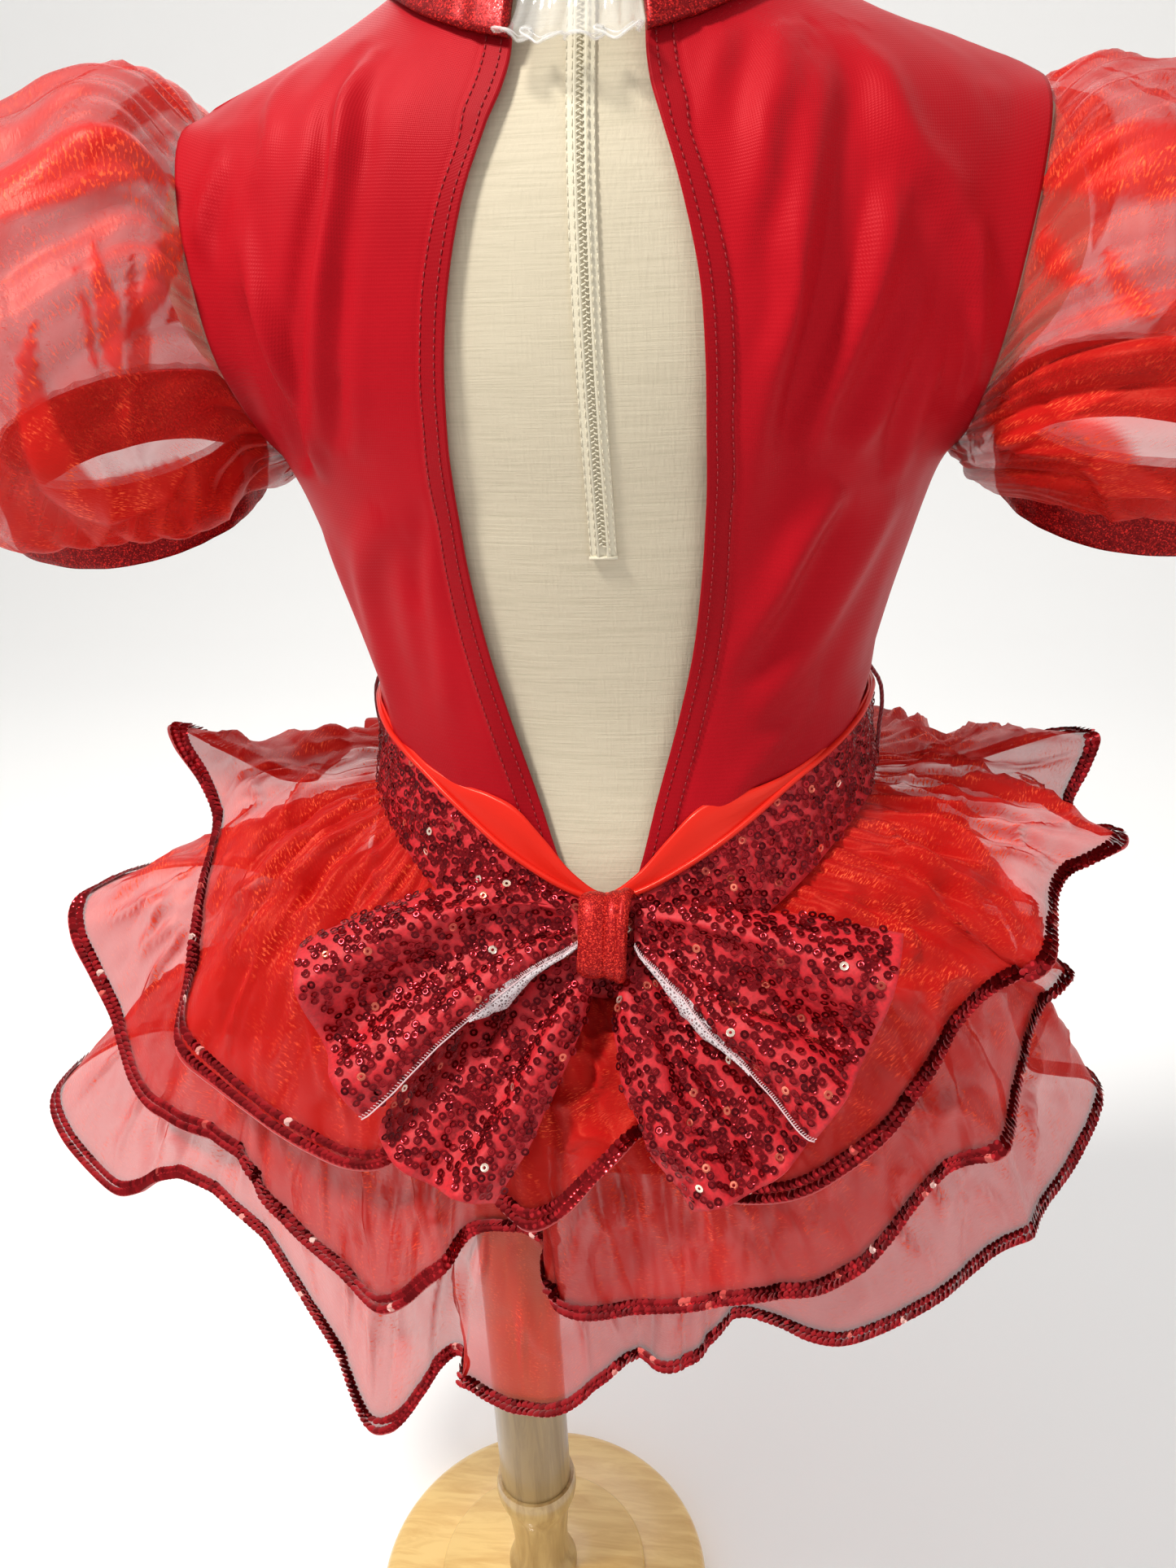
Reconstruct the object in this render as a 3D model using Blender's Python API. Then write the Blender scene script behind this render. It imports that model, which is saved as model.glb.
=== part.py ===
"""Child's skirted leotard on a limbless dress form with a turned wooden stand.

The garment front faces -Y and its open back faces +Y. The wearer's left is +X.
The origin is the middle of the base's underside, on the post's axis. Heights in
the tables are measured from the form's waist, in metres, and angles go from the
wearer's left (0) over the back (90) to the wearer's right (180), in degrees.
"""

import math

import bmesh
import bpy
from mathutils import Vector

for leftover in list(bpy.data.objects):
    bpy.data.objects.remove(leftover, do_unlink=True)

# Driving dimensions
WAIST_HEIGHT = 0.578
BODY_X = -0.066
BODY_Y = -0.014
BODY = Vector((BODY_X, BODY_Y, WAIST_HEIGHT))

SEAM_GAP = 0.0004
KNIT_CLEARANCE = 0.003
KNIT_WALL = 0.0012
SATIN_CLEARANCE = 0.0051
SATIN_WALL = 0.001
BELT_CLEARANCE = 0.0068
BELT_WALL = 0.0014
BELT_HEIGHT = 0.036
COLLAR_CLEARANCE = 0.0062
COLLAR_WALL = 0.0026
COLLAR_HEIGHT = 0.031
ORGANZA_WALL = 0.0011
CUFF_RADIUS = 0.0525
CUFF_WALL = 0.002
CUFF_HEIGHT = 0.033
BOW_WALL = 0.0016
LOOP_STANDOFF = 0.0042
ARMHOLE_STANDOFF = 0.0017

BASE_RADIUS = 0.1
BASE_THICKNESS = 0.020
DISC_RADIUS = 0.0625
DISC_THICKNESS = 0.005
POST_RADIUS = 0.0205
BEAD_RADIUS = 0.0245
BEAD_HEIGHT = 0.098
SOCKET_TOP = -0.11

# Cross-sections of the form: superellipses, by height above the waist
FORM_COLUMNS = ("height", "half_width", "front", "back", "squareness")
FORM_SECTIONS = [
    (-0.215, 0.020, 0.028, 0.028, 2.0),
    (-0.205, 0.034, 0.043, 0.048, 2.0),
    (-0.180, 0.060, 0.060, 0.074, 2.1),
    (-0.160, 0.080, 0.068, 0.087, 2.15),
    (-0.140, 0.096, 0.074, 0.096, 2.2),
    (-0.120, 0.109, 0.079, 0.102, 2.28),
    (-0.110, 0.1135, 0.080, 0.103, 2.3),
    (-0.100, 0.1165, 0.081, 0.103, 2.3),
    (-0.080, 0.1185, 0.082, 0.101, 2.3),
    (-0.060, 0.116, 0.082, 0.096, 2.3),
    (-0.030, 0.106, 0.080, 0.085, 2.2),
    (0.000, 0.0985, 0.078, 0.075, 2.2),
    (0.030, 0.0975, 0.079, 0.073, 2.2),
    (0.060, 0.106, 0.081, 0.076, 2.2),
    (0.090, 0.116, 0.083, 0.081, 2.1),
    (0.115, 0.1235, 0.085, 0.085, 2.0),
    (0.127, 0.132, 0.085, 0.087, 1.98),
    (0.140, 0.143, 0.085, 0.089, 1.95),
    (0.165, 0.166, 0.083, 0.091, 1.9),
    (0.190, 0.176, 0.078, 0.090, 1.8),
    (0.215, 0.172, 0.070, 0.086, 1.75),
    (0.235, 0.161, 0.060, 0.079, 1.7),
    (0.2415, 0.1525, 0.056, 0.076, 1.7),
    (0.250, 0.134, 0.052, 0.071, 1.7),
    (0.262, 0.101, 0.047, 0.063, 1.75),
    (0.2735, 0.073, 0.044, 0.057, 1.9),
    (0.285, 0.060, 0.043, 0.052, 2.0),
    (0.300, 0.0545, 0.042, 0.049, 2.0),
    (0.330, 0.052, 0.042, 0.047, 2.0),
    (0.345, 0.049, 0.039, 0.044, 2.0),
]

# Edges of the open back: distance from the middle, by height
KEYHOLE_COLUMNS = ("height", "left", "right")
KEYHOLE_EDGES = [
    (-0.060, 0.0003, 0.0003),
    (-0.048, 0.0045, 0.0040),
    (-0.036, 0.0130, 0.0105),
    (-0.020, 0.0190, 0.0145),
    (0.018, 0.0315, 0.0245),
    (0.058, 0.0410, 0.0335),
    (0.092, 0.0455, 0.0375),
    (0.134, 0.0475, 0.0395),
    (0.170, 0.0455, 0.0395),
    (0.197, 0.0410, 0.0365),
    (0.222, 0.0340, 0.0300),
    (0.241, 0.0260, 0.0240),
    (0.262, 0.0190, 0.0190),
    (0.285, 0.0180, 0.0180),
]

# Leg openings: where the seat's edge lies from the middle, by height
LEG_COLUMNS = ("height", "edge")
LEG_EDGE = [
    (-0.206, 0.021),
    (-0.190, 0.027),
    (-0.170, 0.040),
    (-0.140, 0.068),
    (-0.120, 0.094),
    (-0.110, 0.1045),
    (-0.100, 0.112),
    (-0.080, 0.1172),
    (-0.060, 0.125),
]

# The straight armhole seam, seen from behind
UNDERARM_X = 0.127
UNDERARM_HEIGHT = 0.112
ARMHOLE_TOP_X = 0.1545
ARMHOLE_TOP_HEIGHT = 0.2455

# Soft folds of the knit, each a ridge from start to end, bowed sideways
FOLD_COLUMNS = ("start_x", "start_height", "end_x", "end_height", "bow", "rise", "spread")
LEFT_FOLDS = [
    (0.050, 0.262, 0.108, 0.130, 0.020, 0.0042, 0.0095),
    (0.074, 0.255, 0.100, 0.060, 0.010, 0.0022, 0.0110),
    (0.120, 0.200, 0.113, 0.125, 0.000, 0.0040, 0.0070),
    (0.092, 0.100, 0.052, -0.010, 0.006, 0.0028, 0.0080),
    (0.070, 0.090, 0.040, 0.000, 0.003, 0.0020, 0.0070),
]
RIGHT_FOLDS = [
    (-0.056, 0.262, -0.045, 0.185, 0.000, 0.0030, 0.0065),
    (-0.073, 0.256, -0.050, 0.165, 0.004, 0.0036, 0.0070),
    (-0.092, 0.248, -0.058, 0.140, 0.006, 0.0036, 0.0080),
    (-0.109, 0.238, -0.070, 0.120, 0.008, 0.0032, 0.0080),
    (-0.121, 0.220, -0.084, 0.105, 0.008, 0.0028, 0.0080),
    (-0.098, 0.120, -0.046, 0.030, 0.006, 0.0032, 0.0085),
    (-0.102, 0.078, -0.048, 0.000, 0.006, 0.0028, 0.0075),
]
FRONT_FOLDS = [
    (0.090, 0.235, 0.060, 0.140, 0.006, 0.0030, 0.0090),
    (-0.085, 0.238, -0.052, 0.150, -0.006, 0.0032, 0.0090),
    (0.118, 0.190, 0.104, 0.120, 0.002, 0.0034, 0.0080),
    (-0.119, 0.185, -0.106, 0.115, -0.002, 0.0032, 0.0080),
    (0.084, 0.085, 0.030, 0.028, 0.004, 0.0022, 0.0080),
    (-0.088, 0.090, -0.034, 0.030, -0.004, 0.0024, 0.0080),
]

# Puffed sleeve: oval rings from the armhole to the cuff, each between its point
# nearest the body and its farthest point
SLEEVE_COLUMNS = ("near_x", "near_height", "far_x", "far_height", "half_depth", "tilt")
SLEEVE_SECTIONS = [
    (0.1372, 0.1165, 0.1735, 0.2655, 0.062, 0.00),
    (0.1392, 0.1145, 0.200, 0.2620, 0.075, 0.03),
    (0.1408, 0.1130, 0.234, 0.2490, 0.086, 0.06),
    (0.1420, 0.1120, 0.262, 0.2260, 0.092, 0.09),
    (0.1432, 0.1115, 0.282, 0.1940, 0.092, 0.12),
    (0.1444, 0.1120, 0.288, 0.1600, 0.086, 0.15),
    (0.1454, 0.1135, 0.282, 0.1310, 0.077, 0.19),
    (0.1462, 0.1170, 0.268, 0.1160, 0.069, 0.23),
]
# How full each sleeve stands about the middle of the armhole: the right one has slumped
SLEEVE_FULLNESS = {"left": 1.0, "right": 0.82}
ARMHOLE_MIDDLE = 0.18
CUFF_X = 0.205
CUFF_TOP = 0.1365
CUFF_TILT = 0.30

# Hems of the three organza tiers: each row is a crest or a trough of the ruffle
HEM_COLUMNS = ("angle", "lean", "reach", "lift")
TIER_1_HEM = [
    (0, 2, 0.208, 0.000),
    (12, -1, 0.184, -0.030),
    (21, 0, 0.194, -0.062),
    (30, 0, 0.207, -0.106),
    (42, 2, 0.183, -0.132),
    (54, 0, 0.165, -0.141),
    (67, -2, 0.147, -0.126),
    (80, 1, 0.157, -0.148),
    (94, 3, 0.141, -0.112),
    (107, -2, 0.151, -0.134),
    (119, 0, 0.159, -0.139),
    (133, 0, 0.166, -0.118),
    (146, 3, 0.170, -0.082),
    (157, -3, 0.192, -0.068),
    (165, 0, 0.188, -0.050),
    (172, 0, 0.214, -0.040),
    (180, 2, 0.196, -0.047),
    (189, -3, 0.208, -0.012),
    (202, 2, 0.172, -0.050),
    (215, -2, 0.190, -0.060),
    (229, 2, 0.158, -0.076),
    (243, -2, 0.180, -0.076),
    (257, 2, 0.150, -0.092),
    (271, -2, 0.174, -0.088),
    (286, 2, 0.149, -0.094),
    (300, -2, 0.176, -0.082),
    (314, 2, 0.160, -0.071),
    (328, -2, 0.188, -0.056),
    (344, 2, 0.176, -0.050),
]
TIER_2_HEM = [
    (5, 1, 0.264, -0.082),
    (13, 0, 0.247, -0.124),
    (20, 0, 0.232, -0.158),
    (29, 2, 0.198, -0.162),
    (37, 0, 0.188, -0.186),
    (45, -1, 0.173, -0.208),
    (54, 0, 0.163, -0.221),
    (64, 1, 0.136, -0.182),
    (75, 4, 0.131, -0.180),
    (84, -3, 0.143, -0.205),
    (98, 0, 0.142, -0.202),
    (112, 0, 0.151, -0.194),
    (127, 0, 0.163, -0.189),
    (140, 2, 0.168, -0.160),
    (152, -3, 0.188, -0.140),
    (163, 2, 0.184, -0.118),
    (173, 0, 0.199, -0.110),
    (185, 1, 0.186, -0.128),
    (198, -2, 0.204, -0.120),
    (212, 2, 0.178, -0.140),
    (227, -2, 0.200, -0.142),
    (242, 2, 0.170, -0.152),
    (258, -2, 0.194, -0.150),
    (274, 2, 0.164, -0.160),
    (290, -2, 0.194, -0.148),
    (305, 2, 0.172, -0.146),
    (320, -2, 0.212, -0.126),
    (335, 2, 0.200, -0.128),
    (349, -2, 0.240, -0.104),
]
TIER_3_HEM = [
    (8, 1, 0.292, -0.188),
    (15, -1, 0.262, -0.226),
    (22, 0, 0.222, -0.196),
    (31, 0, 0.192, -0.214),
    (41, 2, 0.178, -0.252),
    (50, 1, 0.172, -0.296),
    (59, 0, 0.142, -0.255),
    (68, 0, 0.146, -0.268),
    (78, 1, 0.136, -0.274),
    (90, 0, 0.122, -0.258),
    (104, 0, 0.126, -0.252),
    (117, 0, 0.120, -0.236),
    (130, 0, 0.146, -0.246),
    (144, 0, 0.166, -0.236),
    (156, 0, 0.182, -0.226),
    (168, 0, 0.204, -0.214),
    (178, 0, 0.222, -0.184),
    (190, 1, 0.204, -0.206),
    (204, -2, 0.232, -0.196),
    (219, 2, 0.190, -0.216),
    (234, -2, 0.212, -0.214),
    (250, 2, 0.172, -0.228),
    (266, -2, 0.194, -0.226),
    (282, 2, 0.168, -0.234),
    (298, -2, 0.198, -0.222),
    (313, 2, 0.180, -0.222),
    (328, -2, 0.226, -0.206),
    (343, 2, 0.210, -0.212),
    (357, 0, 0.266, -0.186),
]
TIER_DROPS = (0.0014, 0.031, 0.060)
TIER_COLUMNS = 84
TIER_ROWS = (0.0, 0.34, 0.68, 1.0)

# The bow lies in a plane that leans back over the skirt; across and down are in that plane
BOW_MIDDLE = Vector((-0.003, 0.1085, -0.042))
BOW_LEAN = math.radians(33.0)
BOW_COLUMNS = ("across_1", "down_1", "across_2", "down_2", "across_3", "down_3")
BOW_EDGES = {
    "bow_wing_left": [
        (0.0105, -0.0090, 0.058, -0.015, 0.116, 0.008),
        (0.0105, 0.002, 0.045, 0.022, 0.088, 0.070),
    ],
    "bow_tail_left": [
        (0.0134, 0.004, 0.050, 0.036, 0.086, 0.079),
        (0.0055, 0.0187, 0.016, 0.054, 0.040, 0.101),
    ],
    "bow_wing_right": [
        (-0.0105, -0.0090, -0.055, -0.009, -0.108, -0.001),
        (-0.0105, 0.002, -0.046, 0.032, -0.077, 0.071),
    ],
    "bow_tail_right": [
        (-0.0126, 0.004, -0.044, 0.035, -0.076, 0.073),
        (-0.0055, 0.0187, -0.007, 0.057, -0.034, 0.100),
    ],
}
# Pleats that fan out from the knot: how far each stands off the bow's plane at the hem
PLEAT_COLUMNS = ("across", "rise")
WING_PLEATS = [(0.0, 0.016), (0.25, 0.029), (0.58, 0.013), (0.80, 0.027), (1.0, 0.020)]
TAIL_PLEATS = [(0.0, 0.000), (0.30, 0.011), (0.55, 0.004), (0.78, 0.013), (1.0, 0.003)]


def column(table, names, name):
    """One named column of a table, top to bottom."""
    place = names.index(name)
    return [row[place] for row in table]


def smooth_value(xs, ys, x):
    """Cubic through the rows that doesn't swing past them."""
    if x <= xs[0]:
        return ys[0]
    if x >= xs[-1]:
        return ys[-1]
    i = max(k for k in range(len(xs) - 1) if xs[k] <= x)
    span = xs[i + 1] - xs[i]
    slope = (ys[i + 1] - ys[i]) / span
    before = (ys[i] - ys[i - 1]) / (xs[i] - xs[i - 1]) if i > 0 else slope
    after = (ys[i + 2] - ys[i + 1]) / (xs[i + 2] - xs[i + 1]) if i + 2 < len(xs) else slope
    start = 2.0 * before * slope / (before + slope) if before * slope > 0 else 0.0
    end = 2.0 * slope * after / (slope + after) if slope * after > 0 else 0.0
    t = (x - xs[i]) / span
    return ((2 * t ** 3 - 3 * t ** 2 + 1) * ys[i] + (t ** 3 - 2 * t ** 2 + t) * span * start
            + (3 * t ** 2 - 2 * t ** 3) * ys[i + 1] + (t ** 3 - t ** 2) * span * end)


def from_table(table, names, name, at):
    """A column's smooth value where the table's first column is `at`."""
    return smooth_value(column(table, names, names[0]), column(table, names, name), at)


BODY_HEIGHTS = column(FORM_SECTIONS, FORM_COLUMNS, "height")


def ease(t):
    """0 below 0, 1 above 1 and smooth between."""
    t = min(1.0, max(0.0, t))
    return t * t * (3.0 - 2.0 * t)


def form_section(height):
    """The form's half width, front depth, back depth and squareness at a height."""
    return [from_table(FORM_SECTIONS, FORM_COLUMNS, name, height) for name in FORM_COLUMNS[1:]]


def form_excess(x, y, height):
    """0 on the form's surface, more outside it."""
    half_width, front, back, squareness = form_section(height)
    depth = back if y >= 0.0 else front
    return (abs(x) / half_width) ** squareness + (abs(y) / depth) ** squareness - 1.0


def on_form(angle, height, off=0.0):
    """The point at an angle and a height, moved off the form's surface."""
    half_width, front, back, squareness = form_section(height)
    across = math.cos(angle)
    along = math.sin(angle)
    depth = back if along >= 0.0 else front
    reach = ((abs(across) / half_width) ** squareness
             + (abs(along) / depth) ** squareness) ** (-1.0 / squareness)
    x = reach * across
    y = reach * along
    step = 0.0005
    slope = Vector((
        form_excess(x + step, y, height) - form_excess(x - step, y, height),
        form_excess(x, y + step, height) - form_excess(x, y - step, height),
        form_excess(x, y, height + step) - form_excess(x, y, height - step),
    ))
    return BODY + Vector((x, y, height)) + slope.normalized() * off


def on_rows(angle, height, off):
    """Like on_form, but on the flat facets between the body's rows of points."""
    i = max(k for k in range(len(BODY_HEIGHTS) - 1) if BODY_HEIGHTS[k] <= height)
    low = BODY_HEIGHTS[i]
    high = BODY_HEIGHTS[i + 1]
    return on_form(angle, low, off).lerp(on_form(angle, high, off), (height - low) / (high - low))


def angle_at(x, height, back=True):
    """The angle at which the form's surface is `x` from its middle plane."""
    half_width, front, rear, squareness = form_section(height)
    inside = max(0.0, 1.0 - (abs(x) / half_width) ** squareness)
    depth = rear if back else front
    y = depth * inside ** (1.0 / squareness)
    return math.atan2(y if back else -y, x)


def material(name, colour, roughness, metallic=0.0, alpha=1.0):
    """A plain Principled finish."""
    finish = bpy.data.materials.new(name)
    finish.use_nodes = True
    shader = finish.node_tree.nodes["Principled BSDF"]
    shader.inputs["Base Color"].default_value = (*colour, 1.0)
    shader.inputs["Roughness"].default_value = roughness
    shader.inputs["Metallic"].default_value = metallic
    shader.inputs["Alpha"].default_value = alpha
    return finish


def place(name, bm, finish, crease_degrees=50.0):
    """Turn a bmesh into a named object, faces outwards and smoothly shaded."""
    bmesh.ops.recalc_face_normals(bm, faces=bm.faces)
    mesh = bpy.data.meshes.new(name)
    bm.to_mesh(mesh)
    bm.free()
    mesh.shade_smooth()
    mesh.set_sharp_from_angle(angle=math.radians(crease_degrees))
    mesh.materials.append(finish)
    piece = bpy.data.objects.new(name, mesh)
    bpy.context.scene.collection.objects.link(piece)
    return piece


def wall(name, inner, outer, finish, closed=False):
    """A thin wall between two equal grids of points, closed all round.

    Both sides are split along the same diagonals, so that they stay parallel.
    """
    bm = bmesh.new()
    rows = len(inner)
    columns = len(inner[0])
    sides = []
    for grid in (inner, outer):
        sides.append([[bm.verts.new(point) for point in row] for row in grid])
    last = columns if closed else columns - 1
    for side, turned_over in zip(sides, (True, False)):
        for r in range(rows - 1):
            for c in range(last):
                d = (c + 1) % columns
                a, b = side[r][c], side[r][d]
                e, f = side[r + 1][d], side[r + 1][c]
                for corners in ((a, b, e), (a, e, f)):
                    bm.faces.new(corners[::-1] if turned_over else corners)
    inside, outside = sides
    for c in range(last):
        d = (c + 1) % columns
        bm.faces.new((inside[0][c], inside[0][d], outside[0][d], outside[0][c]))
        bm.faces.new((inside[-1][d], inside[-1][c], outside[-1][c], outside[-1][d]))
    if not closed:
        for r in range(rows - 1):
            bm.faces.new((inside[r + 1][0], inside[r][0], outside[r][0], outside[r + 1][0]))
            bm.faces.new((inside[r][-1], inside[r + 1][-1], outside[r + 1][-1], outside[r][-1]))
    return place(name, bm, finish)


def thicken(name, middle, thickness, finish, closed=False):
    """A wall of even thickness about a grid of middle points."""
    rows = len(middle)
    columns = len(middle[0])
    inner = []
    outer = []
    for r in range(rows):
        inner.append([])
        outer.append([])
        for c in range(columns):
            above = middle[min(r + 1, rows - 1)][c]
            below = middle[max(r - 1, 0)][c]
            if closed:
                ahead = middle[r][(c + 1) % columns]
                behind = middle[r][c - 1]
            else:
                ahead = middle[r][min(c + 1, columns - 1)]
                behind = middle[r][max(c - 1, 0)]
            off = (ahead - behind).cross(above - below).normalized() * (thickness / 2.0)
            inner[r].append(middle[r][c] - off)
            outer[r].append(middle[r][c] + off)
    return wall(name, inner, outer, finish, closed)


def lofted(name, rings, finish):
    """A solid through closed rings of points, with flat ends."""
    bm = bmesh.new()
    loops = [[bm.verts.new(point) for point in ring] for ring in rings]
    count = len(rings[0])
    for low, high in zip(loops, loops[1:]):
        for c in range(count):
            d = (c + 1) % count
            bm.faces.new((low[c], low[d], high[d], high[c]))
    bm.faces.new(loops[0][::-1])
    bm.faces.new(loops[-1])
    return place(name, bm, finish)


def turned(name, profile, finish, segments=40):
    """A solid turned on the post's axis from (radius, height) pairs."""
    rings = []
    for radius, height in profile:
        turns = [2.0 * math.pi * k / segments for k in range(segments)]
        rings.append([Vector((radius * math.cos(t), radius * math.sin(t), height)) for t in turns])
    return lofted(name, rings, finish)


# Stand: a round base with a rounded edge, a raised disc and a turned post
def build_stand():
    wood = material("varnished_wood", (0.72, 0.52, 0.30), 0.32)
    edge = 0.007
    turned("stand_base", [
        (BASE_RADIUS - 0.002, 0.0),
        (BASE_RADIUS, 0.002),
        (BASE_RADIUS, BASE_THICKNESS - edge),
        (BASE_RADIUS - 0.3 * edge, BASE_THICKNESS - 0.3 * edge),
        (BASE_RADIUS - edge, BASE_THICKNESS),
    ], wood, segments=40)
    disc_bottom = BASE_THICKNESS + SEAM_GAP
    disc_top = disc_bottom + DISC_THICKNESS
    turned("stand_disc", [
        (DISC_RADIUS, disc_bottom),
        (DISC_RADIUS, disc_top - 0.002),
        (DISC_RADIUS - 0.002, disc_top),
    ], wood, segments=32)
    foot_bottom = disc_top + SEAM_GAP
    bead_top = BEAD_HEIGHT + 0.007
    turned("stand_foot", [
        (0.0205, foot_bottom),
        (0.0215, foot_bottom + 0.006),
        (0.0165, foot_bottom + 0.014),
        (0.0160, foot_bottom + 0.030),
        (0.0185, foot_bottom + 0.055),
        (0.0215, BEAD_HEIGHT - 0.012),
        (0.0225, BEAD_HEIGHT - 0.006),
        (BEAD_RADIUS, BEAD_HEIGHT - 0.001),
        (BEAD_RADIUS, BEAD_HEIGHT + 0.003),
        (0.0225, bead_top),
    ], wood, segments=24)
    top = WAIST_HEIGHT + SOCKET_TOP - 0.001
    turned("stand_post", [
        (POST_RADIUS, bead_top + SEAM_GAP),
        (POST_RADIUS, top - 0.002),
        (POST_RADIUS - 0.002, top),
    ], wood, segments=24)


# Dress form: padded, covered in cotton, limbless, with a socket for the post
def build_form():
    cotton = material("cotton_cover", (0.76, 0.69, 0.56), 0.85)
    columns = 26
    rings = []
    for height in BODY_HEIGHTS:
        turns = [2.0 * math.pi * k / columns for k in range(columns)]
        rings.append([on_form(turn, height) for turn in turns])
    neck_cap = []
    for point in rings[-1]:
        middle = Vector((BODY_X, BODY_Y, point.z))
        neck_cap.append(middle + (point - middle) * 0.82 + Vector((0.0, 0.0, 0.004)))
    rings.append(neck_cap)
    form = lofted("dress_form", rings, cotton)
    depth = SOCKET_TOP + 0.30
    bpy.ops.mesh.primitive_cylinder_add(
        vertices=24, radius=POST_RADIUS + SEAM_GAP, depth=depth,
        location=(0.0, 0.0, WAIST_HEIGHT + SOCKET_TOP - depth / 2.0))
    bore = bpy.context.object
    bore.name = "socket_bore"
    bore.hide_render = True
    bore.display_type = "WIRE"
    cut = form.modifiers.new("socket", "BOOLEAN")
    cut.operation = "DIFFERENCE"
    cut.solver = "EXACT"
    cut.object = bore


def belt_top(angle):
    """Height of the belt's upper edge, which dips to a point at the back."""
    side = abs(math.cos(angle)) ** 1.5
    if math.sin(angle) >= 0.0:
        return -0.038 + 0.059 * side
    return 0.009 + 0.012 * side


def belt_bottom(angle):
    return belt_top(angle) - BELT_HEIGHT


def facing_show(angle):
    """How far the satin facing rolls out above the belt, most on each side of the back."""
    if math.sin(angle) <= 0.0:
        return 0.0016
    return 0.0016 + 0.016 * math.exp(-((abs(math.cos(angle)) - 0.42) / 0.26) ** 2)


def collar_bottom(angle):
    """Height of the collar's lower edge, lowest at the front and back."""
    back = max(0.0, math.sin(angle))
    front = max(0.0, -math.sin(angle))
    return 0.2755 - 0.022 * back ** 2 - 0.016 * front ** 2


def neckline(angle):
    """Height of the leotard's upper edge, hidden inside the collar."""
    return collar_bottom(angle) + 0.007


def fold_rise(folds, x, height):
    """How far the soft folds lift the knit at one place."""
    rise = 0.0
    for row in folds:
        fold = dict(zip(FOLD_COLUMNS, row))
        start = Vector((fold["start_x"], fold["start_height"]))
        run = Vector((fold["end_x"], fold["end_height"])) - start
        length = run.length
        here = Vector((x, height)) - start
        along = here.dot(run) / length ** 2
        if not -0.25 < along < 1.25:
            continue
        bowed = fold["bow"] * 4.0 * along * (1.0 - along)
        across = (here.x * run.y - here.y * run.x) / length + math.copysign(bowed, run.x)
        fade = ease((along + 0.25) / 0.4) * ease((1.25 - along) / 0.4)
        rise = max(rise, fold["rise"] * fade * math.exp(-(across / fold["spread"]) ** 2))
    return rise


def armhole_x(height):
    rise = (height - UNDERARM_HEIGHT) / (ARMHOLE_TOP_HEIGHT - UNDERARM_HEIGHT)
    return UNDERARM_X + (ARMHOLE_TOP_X - UNDERARM_X) * rise


def side_x(height):
    """How far out a panel reaches: leg opening, side seam, armhole or shoulder."""
    half_width = form_section(height)[0]
    if height < LEG_EDGE[-1][0]:
        return min(half_width, from_table(LEG_EDGE, LEG_COLUMNS, "edge", height))
    if height > UNDERARM_HEIGHT:
        return min(half_width, armhole_x(height))
    return half_width


PANEL_HEIGHTS = [height for height in BODY_HEIGHTS if -0.21 < height < 0.275]


def panel_height(height, angle):
    """A row's height: the last rows bend to meet the neckline."""
    top = PANEL_HEIGHTS[-1]
    bend = ease((height - 0.225) / (top - 0.225))
    return height + bend * (neckline(angle) - top)


def knit_panel(name, start, end, columns, folds, finish):
    """A knit panel between two edges, given as functions from height to angle."""
    inner = []
    outer = []
    for height in PANEL_HEIGHTS:
        inner.append([])
        outer.append([])
        for c in range(columns + 1):
            angle = start(height) + (end(height) - start(height)) * c / columns
            level = panel_height(height, angle)
            x = on_form(angle, level).x - BODY_X
            near_collar = ease((collar_bottom(angle) - 0.004 - level) / 0.012)
            near_belt = ease((level - belt_top(angle) - facing_show(angle) - 0.003) / 0.020)
            lift = fold_rise(folds, x, level) * near_collar * near_belt
            inner[-1].append(on_form(angle, level, KNIT_CLEARANCE + lift))
            outer[-1].append(on_form(angle, level, KNIT_CLEARANCE + KNIT_WALL + lift))
    wall(name, inner, outer, finish)


def seam_turn(x, height):
    """The angle that half a seam gap takes up."""
    return SEAM_GAP / 2.0 / max(0.02, math.hypot(x, 0.06))


# Leotard: one front and two backs, cut from a matt four-way stretch knit
def build_leotard():
    knit = material("red_knit", (0.55, 0.01, 0.02), 0.55)

    def outer_edge(height, left, back):
        x = side_x(height) if left else -side_x(height)
        angle = angle_at(x, height, back)
        turn = seam_turn(x, height) * 1.5
        if left:
            return max(angle, turn) if back else min(angle, -turn)
        if back:
            return min(angle, math.pi - turn)
        return max(angle + 2.0 * math.pi, math.pi + turn) if angle < 0.0 else math.pi + turn

    def keyhole(height, left):
        side = "left" if left else "right"
        edge = from_table(KEYHOLE_EDGES, KEYHOLE_COLUMNS, side, height)
        return angle_at(edge if left else -edge, height)

    knit_panel("back_left", lambda h: outer_edge(h, True, True), lambda h: keyhole(h, True),
               10, LEFT_FOLDS, knit)
    knit_panel("back_right", lambda h: keyhole(h, False), lambda h: outer_edge(h, False, True),
               10, RIGHT_FOLDS, knit)
    knit_panel("front", lambda h: outer_edge(h, False, False),
               lambda h: outer_edge(h, True, False) + 2.0 * math.pi, 14, FRONT_FOLDS, knit)

    middle = []
    count = 8
    for k in range(count + 1):
        swing = math.radians(-84.0 + 168.0 * k / count)
        half = 0.0165 + 0.004 * abs(math.sin(swing)) ** 2
        y = 0.0025 + 0.0503 * math.sin(swing)
        height = -0.2068 - 0.0135 * math.cos(swing)
        middle.append([BODY + Vector((x, y, height)) for x in (-half, -half / 2, half / 2, half)])
    thicken("gusset", middle, KNIT_WALL, knit)


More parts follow.
